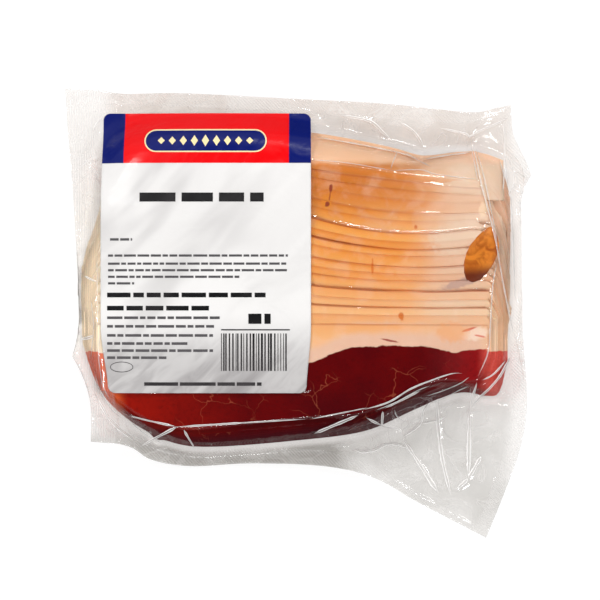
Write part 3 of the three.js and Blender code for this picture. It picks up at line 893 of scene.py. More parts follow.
# %% Label paper
LABEL_CORNER = 3.4 * MM
LABEL_BOW = 3.6 * MM
LABEL_THICKNESS = 0.16 * MM
CORNER_SHARES = np.array([0.03, 0.15, 0.4, 0.8])
label_width = label_high[0] - label_low[0]
label_height = label_high[1] - label_low[1]


def lay_on_label(bm, x, y, lift):
    """Moves the points of a flat shape to places on the paper, face up."""
    move_points(bm, x, y, sample(label_level, x, y) + lift)
    face_up(bm)
    return bm


def label_sides(y):
    """Left and right side of the label at a height: rounded at the corners, bowed in at the lower left."""
    past = np.clip(LABEL_CORNER - np.minimum(y - label_low[1], label_high[1] - y), 0, LABEL_CORNER)
    inset = LABEL_CORNER - np.sqrt(LABEL_CORNER**2 - past**2)
    bow = LABEL_BOW * smoothstep(label_low[1] + 32 * MM, label_low[1], y)
    return label_low[0] + inset + bow, label_high[0] - inset - 0.6 * bow


def label_patch(left, right, bottom, top, lift, pitch=1.0 * MM):
    """A bmesh grid on the paper between four sides given in metres from the label's lower left."""
    columns = max(1, int(round((right - left) / pitch)))
    shares = np.linspace(0, 1, max(1, int(round((top - bottom) / pitch))) + 1)
    if top > label_height - 1 * MM or bottom < 1 * MM:
        near_end = LABEL_CORNER / (top - bottom) * CORNER_SHARES
        shares = np.unique(np.concatenate([shares, near_end, 1 - near_end]))
    bm, column, row = flat_grid(columns, len(shares) - 1)
    y = label_low[1] + bottom + (top - bottom) * shares[row]
    side_left, side_right = label_sides(y)
    if right - left > label_width - 1 * MM:
        x = side_left + (side_right - side_left) * column / columns
    else:
        x = np.clip(label_low[0] + left + (right - left) * column / columns, side_left, side_right)
    return lay_on_label(bm, x, y, lift)


def joined(name, parts):
    """One object from several patches."""
    whole = bmesh.new()
    for part in parts:
        scrap = bpy.data.meshes.new("scrap")
        part.to_mesh(scrap)
        part.free()
        whole.from_mesh(scrap)
        bpy.data.meshes.remove(scrap)
    return new_object(name, whole)


paper_grid = label_patch(0, label_width, 0, label_height, 0)
bmesh.ops.solidify(paper_grid, geom=paper_grid.faces[:], thickness=LABEL_THICKNESS)
label_paper = new_object("label_paper", paper_grid)
belongs(label_paper, "label")
print("label mm", round(label_width / MM, 1), "by", round(label_height / MM, 1))

# %% [markdown]
# The print is made of real thin patches laid on the paper, one object for each ink. Their places are
# measured on the photograph in pixels from the picture's top left, and one pixel is 0.478 mm. The
# header is red between two navy ends. A plain navy badge with a cream rim and a row of lozenges sits
# on it.

# %% Header and badge
PX = 0.478 * MM
LAYER = 0.08 * MM
PRINT_LEFT, PRINT_TOP, PRINT_RIGHT = 102.5, 112.5, 312
HEADER_FOOT = 163.8
RED_LEFT, RED_RIGHT = 124.5, 289
BADGE_LEFT, BADGE_TOP, BADGE_RIGHT, BADGE_FOOT = 145, 129.5, 267, 153
BADGE_RIM = 1.4
LOZENGES = 9
LOZENGE_SPACING, LOZENGE_WIDTH, LOZENGE_HEIGHT = 11, 3.6, 6.0
LOZENGES_X, LOZENGES_Y = 206, 141.3


def on_label(left, top, right, bottom):
    """Sides of a printed shape in metres from the label's lower left, from places in the photo."""
    return ((left - PRINT_LEFT) * PX, (right - PRINT_LEFT) * PX,
            label_height - (bottom - PRINT_TOP) * PX, label_height - (top - PRINT_TOP) * PX)


def capsule(left, top, right, bottom, lift):
    """A bar with round ends on the paper: a grid whose rows end on two half circles."""
    x0, x1, y0, y1 = on_label(left, top, right, bottom)
    radius = (y1 - y0) / 2
    bm, _, _ = flat_grid(56, 12)
    across, up, _ = points_of(bm).T
    up = np.sin(up * math.pi / 2)
    reach = (x1 - x0) / 2 - radius + radius * np.sqrt(np.maximum(0, 1 - up * up))
    return lay_on_label(bm, label_low[0] + (x0 + x1) / 2 + across * reach,
                        label_low[1] + (y0 + y1) / 2 + up * radius, lift)


def lozenge(middle_x, middle_y, half_width, half_height, lift):
    """A diamond on the paper: a small grid turned by an eighth."""
    bm, _, _ = flat_grid(6, 6)
    x, y, _ = points_of(bm).T
    x0, _, _, y1 = on_label(middle_x, middle_y, middle_x, middle_y)
    return lay_on_label(bm, label_low[0] + x0 + (x - y) / 2 * half_width * PX,
                        label_low[1] + y1 + (x + y) / 2 * half_height * PX, lift)


def header_part(left, right):
    return label_patch(*on_label(left, PRINT_TOP, right, HEADER_FOOT), LAYER)


header_navy = joined("header_navy", [header_part(PRINT_LEFT, RED_LEFT), header_part(RED_RIGHT, PRINT_RIGHT)])
header_red = joined("header_red", [header_part(RED_LEFT, RED_RIGHT)])
badge_rim = joined("header_badge_rim", [capsule(BADGE_LEFT, BADGE_TOP, BADGE_RIGHT, BADGE_FOOT, LAYER * 2)])
badge_navy = joined("header_badge", [
    capsule(BADGE_LEFT + BADGE_RIM, BADGE_TOP + BADGE_RIM, BADGE_RIGHT - BADGE_RIM, BADGE_FOOT - BADGE_RIM,
            LAYER * 3)])
from_middle = np.arange(LOZENGES) - LOZENGES // 2
badge_row = joined("header_badge_row", [
    lozenge(LOZENGES_X + LOZENGE_SPACING * k, LOZENGES_Y, LOZENGE_WIDTH, LOZENGE_HEIGHT - 0.6 * abs(k),
            LAYER * 4.5)
    for k in from_middle])
print("header and a badge of", LOZENGES, "lozenges")

# %% [markdown]
# Each line of small print becomes a row of short dashes of the same height and darkness, so that the
# label keeps its grey texture and says nothing. The table gives the rows from top to bottom. The bars
# are of one to three modules, with gaps of one to three, at seeded places. A thin oval outline closes
# the block of fine print.

# %% Small print, bars and oval
# Ink, left, right, middle, height, shortest dash, longest dash and space between, in photo pixels.
PRINT_ROWS = [
    ("black", 141, 264, 198, 9.0, 20, 40, 6),
    ("grey", 112, 134, 240, 2.4, 7, 12, 1.5),
    *(("grey", 110, right, middle, 2.2, 4, 14, 1.6)
      for middle, right in ((256, 288), (264, 288), (270.5, 287), (277, 240), (283.5, 136))),
    ("black", 109, 266, 295, 4.6, 10, 26, 2.8),
    ("black", 109, 210, 308, 4.6, 10, 24, 2.8),
    *(("grey", 109, right, middle, 2.6, 5, 16, 1.8)
      for middle, right in ((317.5, 222), (326, 215), (335, 214), (343, 190), (350, 214), (357, 168))),
    ("black", 249, 271, 318.5, 10, 8, 14, 3),
    ("black", 146, 262, 383, 3.4, 16, 44, 1.8),
]
RULED_LINE = (222, 328.8, 290, 330)
BARS_LEFT, BARS_RIGHT, BARS_TOP, BARS_FOOT = 222, 289.5, 333, 370
BAR_MODULE = 0.69
OVAL = (112, 361, 135, 371.5)
OVAL_LINE = 0.28 * MM
rng_print = np.random.default_rng(77)


def dashes(left, right, middle, height, shortest, longest, space):
    """A row of short dashes that stands for a line of small print."""
    row, x = [], left
    while x < right:
        end = min(x + rng_print.uniform(shortest, longest), right)
        if end - x > 1.2:
            row.append(label_patch(*on_label(x, middle - height / 2, end, middle + height / 2), LAYER))
        x = end + space
    return row


def bars():
    """Plain upright bars, each laid with few faces."""
    row, x = [], BARS_LEFT
    while x < BARS_RIGHT - 3 * BAR_MODULE:
        wide = BAR_MODULE * rng_print.integers(1, 4)
        row.append(label_patch(*on_label(x, BARS_TOP, min(x + wide, BARS_RIGHT), BARS_FOOT), LAYER, 4 * MM))
        x += wide + BAR_MODULE * rng_print.integers(1, 4)
    return row


def oval_outline(left, top, right, bottom):
    """A thin ring: a circle, inset by the width of the line, its middle taken out, laid on the paper."""
    x0, x1, y0, y1 = on_label(left, top, right, bottom)
    bm = bmesh.new()
    bmesh.ops.create_circle(bm, cap_ends=True, segments=48, radius=1)
    bmesh.ops.scale(bm, vec=((x1 - x0) / 2, (y1 - y0) / 2, 1), verts=bm.verts)
    middle_face = bm.faces[:]
    bmesh.ops.inset_region(bm, faces=middle_face, thickness=OVAL_LINE, use_boundary=True,
                           use_even_offset=True)
    bmesh.ops.delete(bm, geom=middle_face, context="FACES")
    x, y, _ = points_of(bm).T
    return lay_on_label(bm, label_low[0] + (x0 + x1) / 2 + x, label_low[1] + (y0 + y1) / 2 + y, LAYER)


inks = {"black": [], "grey": []}
for ink, *row in PRINT_ROWS:
    inks[ink] += dashes(*row)
inks["black"].append(label_patch(*on_label(*RULED_LINE), LAYER))
inks["black"] += bars()
ink_black, ink_grey = [joined(f"print_{ink}", parts) for ink, parts in inks.items()]
print_oval = joined("print_oval", [oval_outline(*OVAL)])
prints = (header_navy, header_red, badge_navy, badge_rim, badge_row, ink_black, ink_grey, print_oval)
for patch in prints:
    belongs(patch, "label")
print("label pieces", len(prints) + 1)

# %% [markdown]
# Where loose film buckles it folds back on itself in narrow, sharp ribs that catch the light as white
# lines. They are too narrow for the film's own grid, so each crease that stands up gets a ribbon: a
# long bmesh grid with a roof-shaped section that lies on the film along the crease's line and thins out
# to nothing at both ends. Their white is a milky haze in the finish, strongest along both flanks:
# partly the real whitening of folded film and partly a painted highlight.

# %% Ribs of folded film
RIB_SECTION = np.array([-1, -0.72, -0.4, 0, 0.4, 0.72, 1])
RIB_HEIGHT = np.array([0, 0.75, 1.0, 0.8, 1.0, 0.75, 0])
# The white across a rib's section is a painted highlight, whitest on both flanks.
RIB_PAINTED_SHEEN = np.array([0.1, 1.0, 0.45, 0.05, 0.45, 1.0, 0.1])


def film_rib(line, half_width, height, seed):
    """A ribbon with a ridge along a line, its width wavering, tilted with the film below it."""
    waver = running_mean(np.random.default_rng(seed).uniform(0.4, 1.4, len(line)))
    taper = np.clip(np.sin(math.pi * np.linspace(0, 1, len(line))) * 2.0, 0.04, 1)
    run = np.gradient(line, axis=0)
    across = np.column_stack([-run[:, 1], run[:, 0]]) / np.hypot(run[:, 0], run[:, 1])[:, None]
    right, left = [sample(upper_level, *(line + across * half_width * sign).T) for sign in (-1, 1)]
    tilt = running_mean((left - right) / 2)
    bridged = running_mean(np.maximum(right + tilt, left - tilt))
    centre = np.maximum(sample(upper_level, *line.T), bridged) + 0.07 * MM
    centre = np.maximum(centre, running_mean(centre))
    bm, station, place = flat_grid(len(line) - 1, len(RIB_SECTION) - 1)
    offset = RIB_SECTION[place] * half_width * taper[station] * waver[station]
    x, y = (line[station] + across[station] * offset[:, None]).T
    level = centre[station] + tilt[station] * RIB_SECTION[place]
    move_points(bm, x, y, level + RIB_HEIGHT[place] * height * taper[station])
    face_up(bm)
    return bm


ribs = []
sheen = []
for seed, item in enumerate(CREASES):
    if item["height"] > 0:
        line = rounded_line(item["line"], 0.8 * MM)
        ribs.append(film_rib(line, item["width"] * 0.5 * MM, item["height"] * 0.3 * MM, 400 + seed))
        sheen.extend(np.repeat(RIB_PAINTED_SHEEN, len(line)) * item["white"])
rib_count = len(ribs)
film_ribs = joined("film_ribs", ribs)
keep_values(film_ribs, sheen=sheen, stand_off=5 * MM, inside=30 * MM)
belongs(film_ribs, "bag")
print("film ribs", rib_count, "faces", len(film_ribs.data.polygons))

# %% [markdown]
# The finishes are made of shader nodes. A few helpers keep the trees short: `put` adds a node, `calc`
# does a sum, `times` a product, `scaled` a product with something added, `ease` maps a range softly to
# 0 to 1 and `tint` mixes two colours. Colours are written as they look on a screen and turned into the
# linear values that a renderer works with.

# %% Helpers for shader trees
def rgb(red, green, blue):
    """A screen colour, 0 to 255, as a linear colour."""
    parts = np.array([red, green, blue]) / 255
    linear = np.where(parts <= 0.04045, parts / 12.92, ((parts + 0.055) / 1.055) ** 2.4)
    return (*[float(v) for v in linear], 1.0)


def feed(tree, value, socket):
    if isinstance(value, bpy.types.NodeSocket):
        tree.links.new(value, socket)
    else:
        socket.default_value = value


def put(tree, kind, settings=(), **inputs):
    """Adds a node. Inputs are given by socket name, as values or as the sockets that feed them."""
    made = tree.nodes.new("ShaderNode" + kind)
    for key, value in dict(settings).items():
        setattr(made, key, value)
    for key, value in inputs.items():
        feed(tree, value, made.inputs[key.replace("_", " ")])
    return made


def calc(tree, operation, *values, clamp=False):
    made = put(tree, "Math", {"operation": operation, "use_clamp": clamp})
    for value, socket in zip(values, made.inputs):
        feed(tree, value, socket)
    return made.outputs[0]


def times(tree, *values, clamp=False):
    return calc(tree, "MULTIPLY", *values, clamp=clamp)


def scaled(tree, value, factor, added, clamp=False):
    """The value times a factor, plus what is added."""
    return calc(tree, "MULTIPLY_ADD", value, factor, added, clamp=clamp)


def ease(tree, value, low, high):
    made = put(tree, "MapRange", {"interpolation_type": "SMOOTHSTEP"},
               Value=value, From_Min=low, From_Max=high)
    return made.outputs[0]


def tint(tree, share, first, second):
    made = put(tree, "Mix", {"data_type": "RGBA"})
    for value, index in ((share, 0), (first, 6), (second, 7)):
        feed(tree, value, made.inputs[index])
    return made.outputs[2]


def stain(tree, base, share, strength, colour):
    """Lays a colour over what is there, by a share of the surface and a strength."""
    return tint(tree, times(tree, share, strength), base, colour)


def inverse(tree, value):
    return calc(tree, "SUBTRACT", 1.0, value)


def noise(tree, vector, scale, detail=3.0, distortion=0.0):
    made = put(tree, "TexNoise", Vector=vector, Scale=scale, Detail=detail, Distortion=distortion)
    return made.outputs[0]


def attribute(tree, name):
    return put(tree, "Attribute", {"attribute_name": name}).outputs["Fac"]


def new_group(name, inputs, outputs):
    """A node group with named sockets. Returns the group, what comes in and what goes out."""
    group = bpy.data.node_groups.new(name, "ShaderNodeTree")
    kinds = {"value": "NodeSocketFloat", "vector": "NodeSocketVector", "colour": "NodeSocketColor"}
    for label, kind in inputs:
        group.interface.new_socket(label, in_out="INPUT", socket_type=kinds[kind])
    for label, kind in outputs:
        group.interface.new_socket(label, in_out="OUTPUT", socket_type=kinds[kind])
    come = group.nodes.new("NodeGroupInput").outputs
    go = group.nodes.new("NodeGroupOutput").inputs
    return group, come, go


def use(tree, group, **inputs):
    made = tree.nodes.new("ShaderNodeGroup")
    made.node_tree = group
    for key, value in inputs.items():
        feed(tree, value, made.inputs[key.replace("_", " ")])
    return made.outputs


def new_material(name):
    material = bpy.data.materials.new(name)
    material.use_nodes = True
    tree = material.node_tree
    shader = tree.nodes["Principled BSDF"]
    place = put(tree, "TexCoord").outputs["Object"]
    return material, tree, shader, place


def dress(material, *pieces):
    for piece in pieces:
        piece.data.materials.clear()
        piece.data.materials.append(material)


print("pure red as a linear colour", rgb(255, 0, 0))

# %% [markdown]
# Three effects serve more than one finish, so each is a node group. `veins` draws a thin branching
# network and rubs most of it out. `spot` is a soft oval at a place, for a stain. `crinkle` is the
# relief of film that has been crushed: sharp ridges in all directions, and thin milky wisps.

# %% Shared effects
veins, come, go = new_group("veins", [("Place", "vector"), ("Scale", "value"), ("Width", "value"),
                                      ("Cover", "value")], [("Mask", "value")])
bent = put(veins, "TexNoise", Vector=come["Place"], Scale=90.0, Detail=3.0)
pushed = put(veins, "VectorMath", {"operation": "SCALE"}, Vector=bent.outputs["Color"], Scale=0.012)
moved = put(veins, "VectorMath", {"operation": "ADD"})
feed(veins, come["Place"], moved.inputs[0])
feed(veins, pushed.outputs[0], moved.inputs[1])
cells = put(veins, "TexVoronoi", {"feature": "DISTANCE_TO_EDGE"},
            Vector=moved.outputs[0], Scale=come["Scale"])
thin = ease(veins, cells.outputs["Distance"], come["Width"], 0.0)
patch_noise = noise(veins, come["Place"], 34.0, 2.0)
kept = ease(veins, patch_noise, come["Cover"], calc(veins, "ADD", come["Cover"], 0.08))
feed(veins, times(veins, thin, kept), go["Mask"])

spot, come, go = new_group("spot", [("Place", "vector"), ("Centre", "vector"), ("Size", "vector"),
                                    ("Turn", "value")], [("Mask", "value")])
turned = put(spot, "Mapping", {"vector_type": "TEXTURE"}, Vector=come["Place"], Location=come["Centre"],
             Scale=come["Size"])
heading = put(spot, "CombineXYZ", Z=come["Turn"])
feed(spot, heading.outputs[0], turned.inputs["Rotation"])
ragged = noise(spot, come["Place"], 420.0, 3.0)
away = put(spot, "VectorMath", {"operation": "LENGTH"}, Vector=turned.outputs[0]).outputs["Value"]
uneven = calc(spot, "ADD", away, times(spot, calc(spot, "SUBTRACT", ragged, 0.5), 0.9))
feed(spot, ease(spot, uneven, 1.0, 0.55), go["Mask"])

crinkle, come, go = new_group("crinkle", [("Place", "vector"), ("Scale", "value")],
                              [("Height", "value"), ("Wisps", "value")])
ridges = put(crinkle, "TexNoise", {"noise_type": "RIDGED_MULTIFRACTAL"}, Vector=come["Place"],
             Scale=come["Scale"], Detail=3.0, Roughness=0.4, Distortion=0.5)
cloudy = noise(crinkle, come["Place"], times(crinkle, come["Scale"], 0.6), 3.0, 1.2)
feed(crinkle, times(crinkle, ridges.outputs[0], 0.5), go["Height"])
middle = calc(crinkle, "ABSOLUTE", calc(crinkle, "SUBTRACT", cloudy, 0.5))
feed(crinkle, ease(crinkle, middle, 0.03, 0.0), go["Wisps"])
print("effects", [g.name for g in bpy.data.node_groups])

# %% [markdown]
# One finish serves all rashers and the rear sheet. It reads the values kept on their points. The fat
# is orange at the smoked rind and turns paler and pinker towards the lean, by a colour ramp. On top
# come wide, soft changes over the pack: paler to the right, creamier to the front, and smoke-brown in a
# field below the crest. Painted light makes the steep sides at the far left and past the rear crest
# paler, as if the lamps lit them more.

# %% Fat
bacon, tree, shader, place = new_material("bacon")
from_rind = attribute(tree, "from_rind")
into_lean = attribute(tree, "into_lean")
axes = put(tree, "SeparateXYZ", Vector=place).outputs
broad = noise(tree, place, 26.0, 3.0)
fine_grain = noise(tree, place, 520.0, 4.0)
mottle = noise(tree, place, 110.0, 4.0, 0.4)

RAMP_LENGTH = 12 * MM
RAMP = [(0.0, rgb(230, 142, 66)), (0.06, rgb(238, 152, 70)), (0.14, rgb(244, 164, 82)),
        (0.34, rgb(244, 174, 94)), (0.62, rgb(248, 192, 134)), (1.0, rgb(248, 210, 176))]
ramp = put(tree, "ValToRGB", Fac=calc(tree, "DIVIDE", from_rind, RAMP_LENGTH))
elements = ramp.color_ramp.elements
while len(elements) < len(RAMP):
    elements.new(0.5)
for element, (position, colour) in zip(elements, RAMP):
    element.position = position
    element.color = colour
fat = ramp.outputs[0]

to_right = ease(tree, scaled(tree, broad, 40 * MM, axes["X"]), 56 * MM, 96 * MM)
fat = stain(tree, fat, to_right, 0.8, rgb(236, 212, 192))
forward = ease(tree, scaled(tree, mottle, 14 * MM, axes["Y"]), 34 * MM, 4 * MM)
fat = stain(tree, fat, forward, 0.46, rgb(255, 214, 170))
near_lean = ease(tree, scaled(tree, mottle, 3 * MM, into_lean), -7.5 * MM, -2.5 * MM)
near_lean = times(tree, near_lean, ease(tree, axes["Y"], 2 * MM, -5 * MM))
near_lean = times(tree, near_lean, ease(tree, axes["X"], 92 * MM, 84 * MM))
fat = tint(tree, near_lean, fat, rgb(236, 206, 186))
past_crest = ease(tree, axes["Y"], 70 * MM, 74 * MM)
rearward = ease(tree, scaled(tree, mottle, 22 * MM, axes["Y"]), 44 * MM, 72 * MM)
smoky = times(tree, times(tree, rearward, inverse(tree, past_crest)), inverse(tree, to_right))
fat = stain(tree, fat, smoky, 0.8, rgb(198, 108, 32))
fat = tint(tree, ease(tree, mottle, 0.42, 0.72), fat, tint(tree, 0.22, fat, rgb(255, 232, 214)))
fat = stain(tree, fat, ease(tree, attribute(tree, "tone"), 0.3, 1.0), 0.28, rgb(232, 140, 68))
# Painted light: the rear side past the crest is painted paler.
fat = stain(tree, fat, past_crest, 0.75, rgb(255, 208, 176))
# Painted light: the steep far left side is painted paler.
fat = tint(tree, ease(tree, axes["X"], -76 * MM, -90 * MM), fat, rgb(255, 236, 208))

# Partly the rind's own dark edge and partly painted shade of the groove behind it, so it is darker where the
# groove is deeper.
rim = times(tree, ease(tree, from_rind, 0.9 * MM, 0.1 * MM), ease(tree, broad, 0.2, 0.62))
rim = times(tree, rim, scaled(tree, attribute(tree, "groove"), 0.95, 0.02))
fat = tint(tree, rim, fat, rgb(166, 80, 42))
print("colours along the fat", len(RAMP))

# %% [markdown]
# Lean is a deep red, brighter and browner to the left, brighter red to the right, and almost purple
# low on the sides. At both ends of the stack painted light makes it much lighter, pink at the right
# and orange at the left. Thin pale veins run in it. The border between fat and lean is made ragged by
# noise, and at both ends of the stack a margin of fat turns up over the lean.

# %% Lean
lean = tint(tree, ease(tree, broad, 0.35, 0.7), rgb(104, 2, 4), rgb(82, 0, 6))
to_left = ease(tree, scaled(tree, mottle, 20 * MM, axes["X"]), 0.0, -88 * MM)
lean = tint(tree, to_left, lean, rgb(158, 22, 8))
near_right = ease(tree, scaled(tree, mottle, 20 * MM, axes["X"]), 66 * MM, 98 * MM)
lean = stain(tree, lean, near_right, 0.6, rgb(168, 22, 26))
# Painted light: the right end of the lean is painted a light pink.
lean = stain(tree, lean, ease(tree, axes["X"], 84 * MM, 92 * MM), 0.9, rgb(234, 96, 84))
low_side = times(tree, ease(tree, axes["Z"], 33 * MM, 22 * MM), ease(tree, axes["X"], 84 * MM, 74 * MM))
lean = stain(tree, lean, low_side, 0.7, rgb(92, 8, 30))
# Painted light: the far left end of the lean is painted a light orange.
lean = stain(tree, lean, ease(tree, axes["X"], -80 * MM, -90 * MM), 0.8, rgb(250, 118, 60))
lean = tint(tree, ease(tree, fine_grain, 0.45, 0.75), lean, tint(tree, 0.25, lean, rgb(60, 0, 4)))
marbling = use(tree, veins, Place=place, Scale=62.0, Width=0.016, Cover=0.5)["Mask"]
lean = stain(tree, lean, marbling, 0.26, rgb(214, 118, 84))

ragged_edge = times(tree, calc(tree, "SUBTRACT", noise(tree, place, 170.0, 4.0), 0.5), 2.6 * MM)
lean_share = ease(tree, calc(tree, "ADD", into_lean, ragged_edge), -0.35 * MM, 0.35 * MM)
from_left = calc(tree, "SUBTRACT", axes["X"], LEFT_END + 5 * MM)
from_right = calc(tree, "SUBTRACT", RIGHT_END - 6 * MM, axes["X"])
to_end = scaled(tree, broad, 8 * MM, calc(tree, "MINIMUM", from_left, from_right))
above_lean = scaled(tree, mottle, 3 * MM, axes["Y"])
above_lean = ease(tree, above_lean, LEAN_STARTS + 1.2 * MM, LEAN_STARTS + 1.9 * MM)
end_fat = times(tree, ease(tree, to_end, 4.6 * MM, 3.4 * MM), above_lean)
lean_share = times(tree, lean_share, inverse(tree, end_fat))
meat = tint(tree, lean_share, fat, lean)
print("nodes in the bacon finish so far", len(tree.nodes))

# %% [markdown]
# A few marks are set where the real pack has them, each by its own soft oval: a crack, a notch, some
# patches and red streaks. One oval is a painted shadow instead: a greyish violet wedge under the front
# of the loose rind. Wet meat under film has little gloss of its own, because the film has it, but some
# light travels inside it, so a little subsurface scattering softens the edges.

# %% Marks and gloss of the bacon
DEPTH = 30
# Name, place and half size in millimetres, turn, colour and strength.
MARKS = [
    ("pale patch", (75, 36, 36), (16, 9, DEPTH), 0.3, rgb(240, 214, 190), 0.55),
    # Painted shadow under the front of the loose rind.
    ("flap shadow", (77, 14.5, 36), (12, 2.6, DEPTH), 0.28, rgb(190, 156, 148), 0.7),
    ("golden patch", (13.6, 53.5, 36), (3.4, 4.4, DEPTH), -0.2, rgb(222, 138, 48), 0.7),
    ("crack, upper part", (15.4, 59.5, 36), (1.0, 2.2, DEPTH), -0.2, rgb(142, 58, 44), 0.9),
    ("crack, middle", (14.9, 55.5, 36), (0.5, 2.6, DEPTH), -0.15, rgb(170, 84, 48), 0.8),
    ("crack, lower part", (13.7, 51.8, 36), (1.3, 1.6, DEPTH), -0.5, rgb(138, 54, 42), 0.9),
    ("orange notch", (48.6, -1.2, 36), (1.6, 2.4, DEPTH), 0.2, rgb(214, 108, 30), 0.8),
    ("orange line", (35.0, 22.5, 36), (0.7, 4.5, DEPTH), 0.0, rgb(216, 96, 24), 0.6),
    ("small orange spot", (55.5, 41.0, 36), (0.9, 1.1, DEPTH), 0.0, rgb(206, 96, 40), 0.7),
    ("pale fray", (84, -9.5, 36), (8.0, 3.6, DEPTH), 0.2, rgb(252, 226, 208), 0.75),
    ("red streak, rear", (81, -7.4, 36), (4.4, 0.7, DEPTH), 0.3, rgb(212, 74, 52), 0.75),
    ("red streak, front", (86, -10.6, 36), (3.2, 0.6, DEPTH), -0.2, rgb(220, 96, 76), 0.7),
    ("orange hollow", (73, -9.0, 36), (10.0, 6.0, DEPTH), -0.1, rgb(244, 164, 98), 0.4),
    ("cream lump", (87.8, 49.5, 36), (2.4, 5.2, DEPTH), -0.15, rgb(255, 228, 196), 0.6),
    ("red thread", (43, -12.6, 36), (5.0, 0.6, DEPTH), -0.2, rgb(150, 34, 30), 0.8),
]
for _, centre, size, turn, colour, strength in MARKS:
    mask = use(tree, spot, Place=place, Centre=Vector(centre) * MM, Size=Vector(size) * MM, Turn=turn)["Mask"]
    meat = stain(tree, meat, mask, strength, colour)
feed(tree, meat, shader.inputs["Base Color"])
feed(tree, tint(tree, lean_share, (0.38,) * 3 + (1,), (0.3,) * 3 + (1,)), shader.inputs["Roughness"])


def soften(shader, specular):
    """Little gloss, and some light that travels inside."""
    shader.inputs["Specular IOR Level"].default_value = specular
    shader.inputs["Subsurface Weight"].default_value = 0.10
    shader.inputs["Subsurface Scale"].default_value = 0.003


def emboss(tree, shader, height, strength, distance):
    relief = put(tree, "Bump", Strength=strength, Distance=distance, Height=height)
    feed(tree, relief.outputs[0], shader.inputs["Normal"])


soften(shader, 0.12)
shader.inputs["Subsurface Radius"].default_value = (1.0, 0.35, 0.2)
emboss(tree, shader, calc(tree, "ADD", fine_grain, mottle), 0.35, 0.25 * MM)
dress(bacon, *rashers, rear_sheet)
print("marks on the bacon", len(MARKS))

# %% [markdown]
# The loose rind is leathery skin, streaky orange-brown from the smoke and darker at its thick tip.

# %% Smoked rind
rind, tree, shader, place = new_material("smoked_rind")
axes = put(tree, "SeparateXYZ", Vector=place).outputs
streaky = noise(tree, place, 210.0, 5.0, 0.8)
skin = tint(tree, ease(tree, streaky, 0.35, 0.7), rgb(226, 136, 44), rgb(172, 86, 20))
tip_place = scaled(tree, streaky, 6 * MM, axes["Y"])
tip = ease(tree, tip_place, FLAP_Y - 0.10 * FLAP_HALF_LENGTH, FLAP_Y - 0.50 * FLAP_HALF_LENGTH)
skin = tint(tree, tip, skin, rgb(112, 44, 14))
feed(tree, skin, shader.inputs["Base Color"])
shader.inputs["Roughness"].default_value = 0.45
soften(shader, 0.2)
emboss(tree, shader, streaky, 0.5, 0.4 * MM)
dress(rind, rind_flap)
print("finishes of the contents", bacon.name, rind.name)

# %% [markdown]
# Clear film is mostly nothing: light goes straight through, a little of it tinted. What shows are its
# reflections, so the shader is a transparent layer under a glossy one, mixed by how far the film faces
# away. Crushed or doubled film also scatters light, as a thin white haze. The haze is close to nothing
# where the film clings to meat, and grows with the stand-off that was kept on its points. Doubled film
# darkens what lies behind it. Along the bottom the darkening is also painted shade of the wrinkles, and
# towards the top the tint is warmer, as painted light thrown back from the meat. The sealed rim has
# the fine hatching of the heat bars.

# %% Parts of the film's finish
HATCH_PITCH = 1.15 * MM
SEAL_WIDTH = 7.5 * MM
LEFT_SEAL_MORE = 9 * MM
SLANTED = (0.72, 0.69, 0, 1)
UPRIGHT = (0.99, -0.12, 0, 1)


def seal_and_hatch(tree, place, axes, inside):
    """Where the sealed rim is, and its fine lines: upright on the left, slanted elsewhere."""
    left_bar = ease(tree, axes["X"], -84 * MM, -88 * MM)
    band = scaled(tree, left_bar, LEFT_SEAL_MORE, SEAL_WIDTH)
    seal = ease(tree, calc(tree, "SUBTRACT", band, inside), -0.3 * MM, 0.3 * MM)
    rows = put(tree, "VectorMath", {"operation": "DOT_PRODUCT"})
    feed(tree, place, rows.inputs[0])
    feed(tree, tint(tree, left_bar, SLANTED, UPRIGHT), rows.inputs[1])
    lines = calc(tree, "SINE", times(tree, rows.outputs["Value"], 2 * math.pi / HATCH_PITCH))
    return seal, times(tree, scaled(tree, lines, 0.5, 0.5), seal)


def film_tint(tree, axes, cloud, free):
    """The colour that light takes on its way through: darker where loose film lies double and, along the
    bottom, by painted shade; warmer towards the top by painted light from the meat.
    """
    at_bottom = ease(tree, axes["Y"], -54 * MM, -66 * MM)
    at_bottom = times(tree, at_bottom, ease(tree, axes["X"], 34 * MM, 12 * MM))
    at_left = ease(tree, axes["X"], -84 * MM, -96 * MM)
    at_sides = calc(tree, "ADD", at_left, ease(tree, axes["X"], 98 * MM, 106 * MM))
    # Painted shade: the darkening is strongest along the bottom, partly the doubled film and partly shade of
    # the wrinkles.
    doubled_film_and_shade = calc(tree, "ADD", 0.32, times(tree, at_bottom, 0.6))
    doubled_film_and_shade = calc(tree, "SUBTRACT", doubled_film_and_shade, times(tree, at_sides, 0.27), clamp=True)
    doubled_film_and_shade = times(tree, times(tree, doubled_film_and_shade, scaled(tree, cloud, 2.2, -0.1)), free)
    # Painted light: the tint is warmer towards the top, as light thrown back from the meat.
    grey_to_warm_bounce = tint(tree, ease(tree, axes["Y"], 0.0, 70 * MM), rgb(204, 202, 198), rgb(214, 198, 186))
    return tint(tree, doubled_film_and_shade, rgb(254, 253, 252), grey_to_warm_bounce)


def mix_shaders(tree, share, first, second):
    made = put(tree, "MixShader", Fac=share)
    feed(tree, first.outputs[0], made.inputs[1])
    feed(tree, second.outputs[0], made.inputs[2])
    return made


print("hatching of the seal, lines to the millimetre", round(MM / HATCH_PITCH, 2))

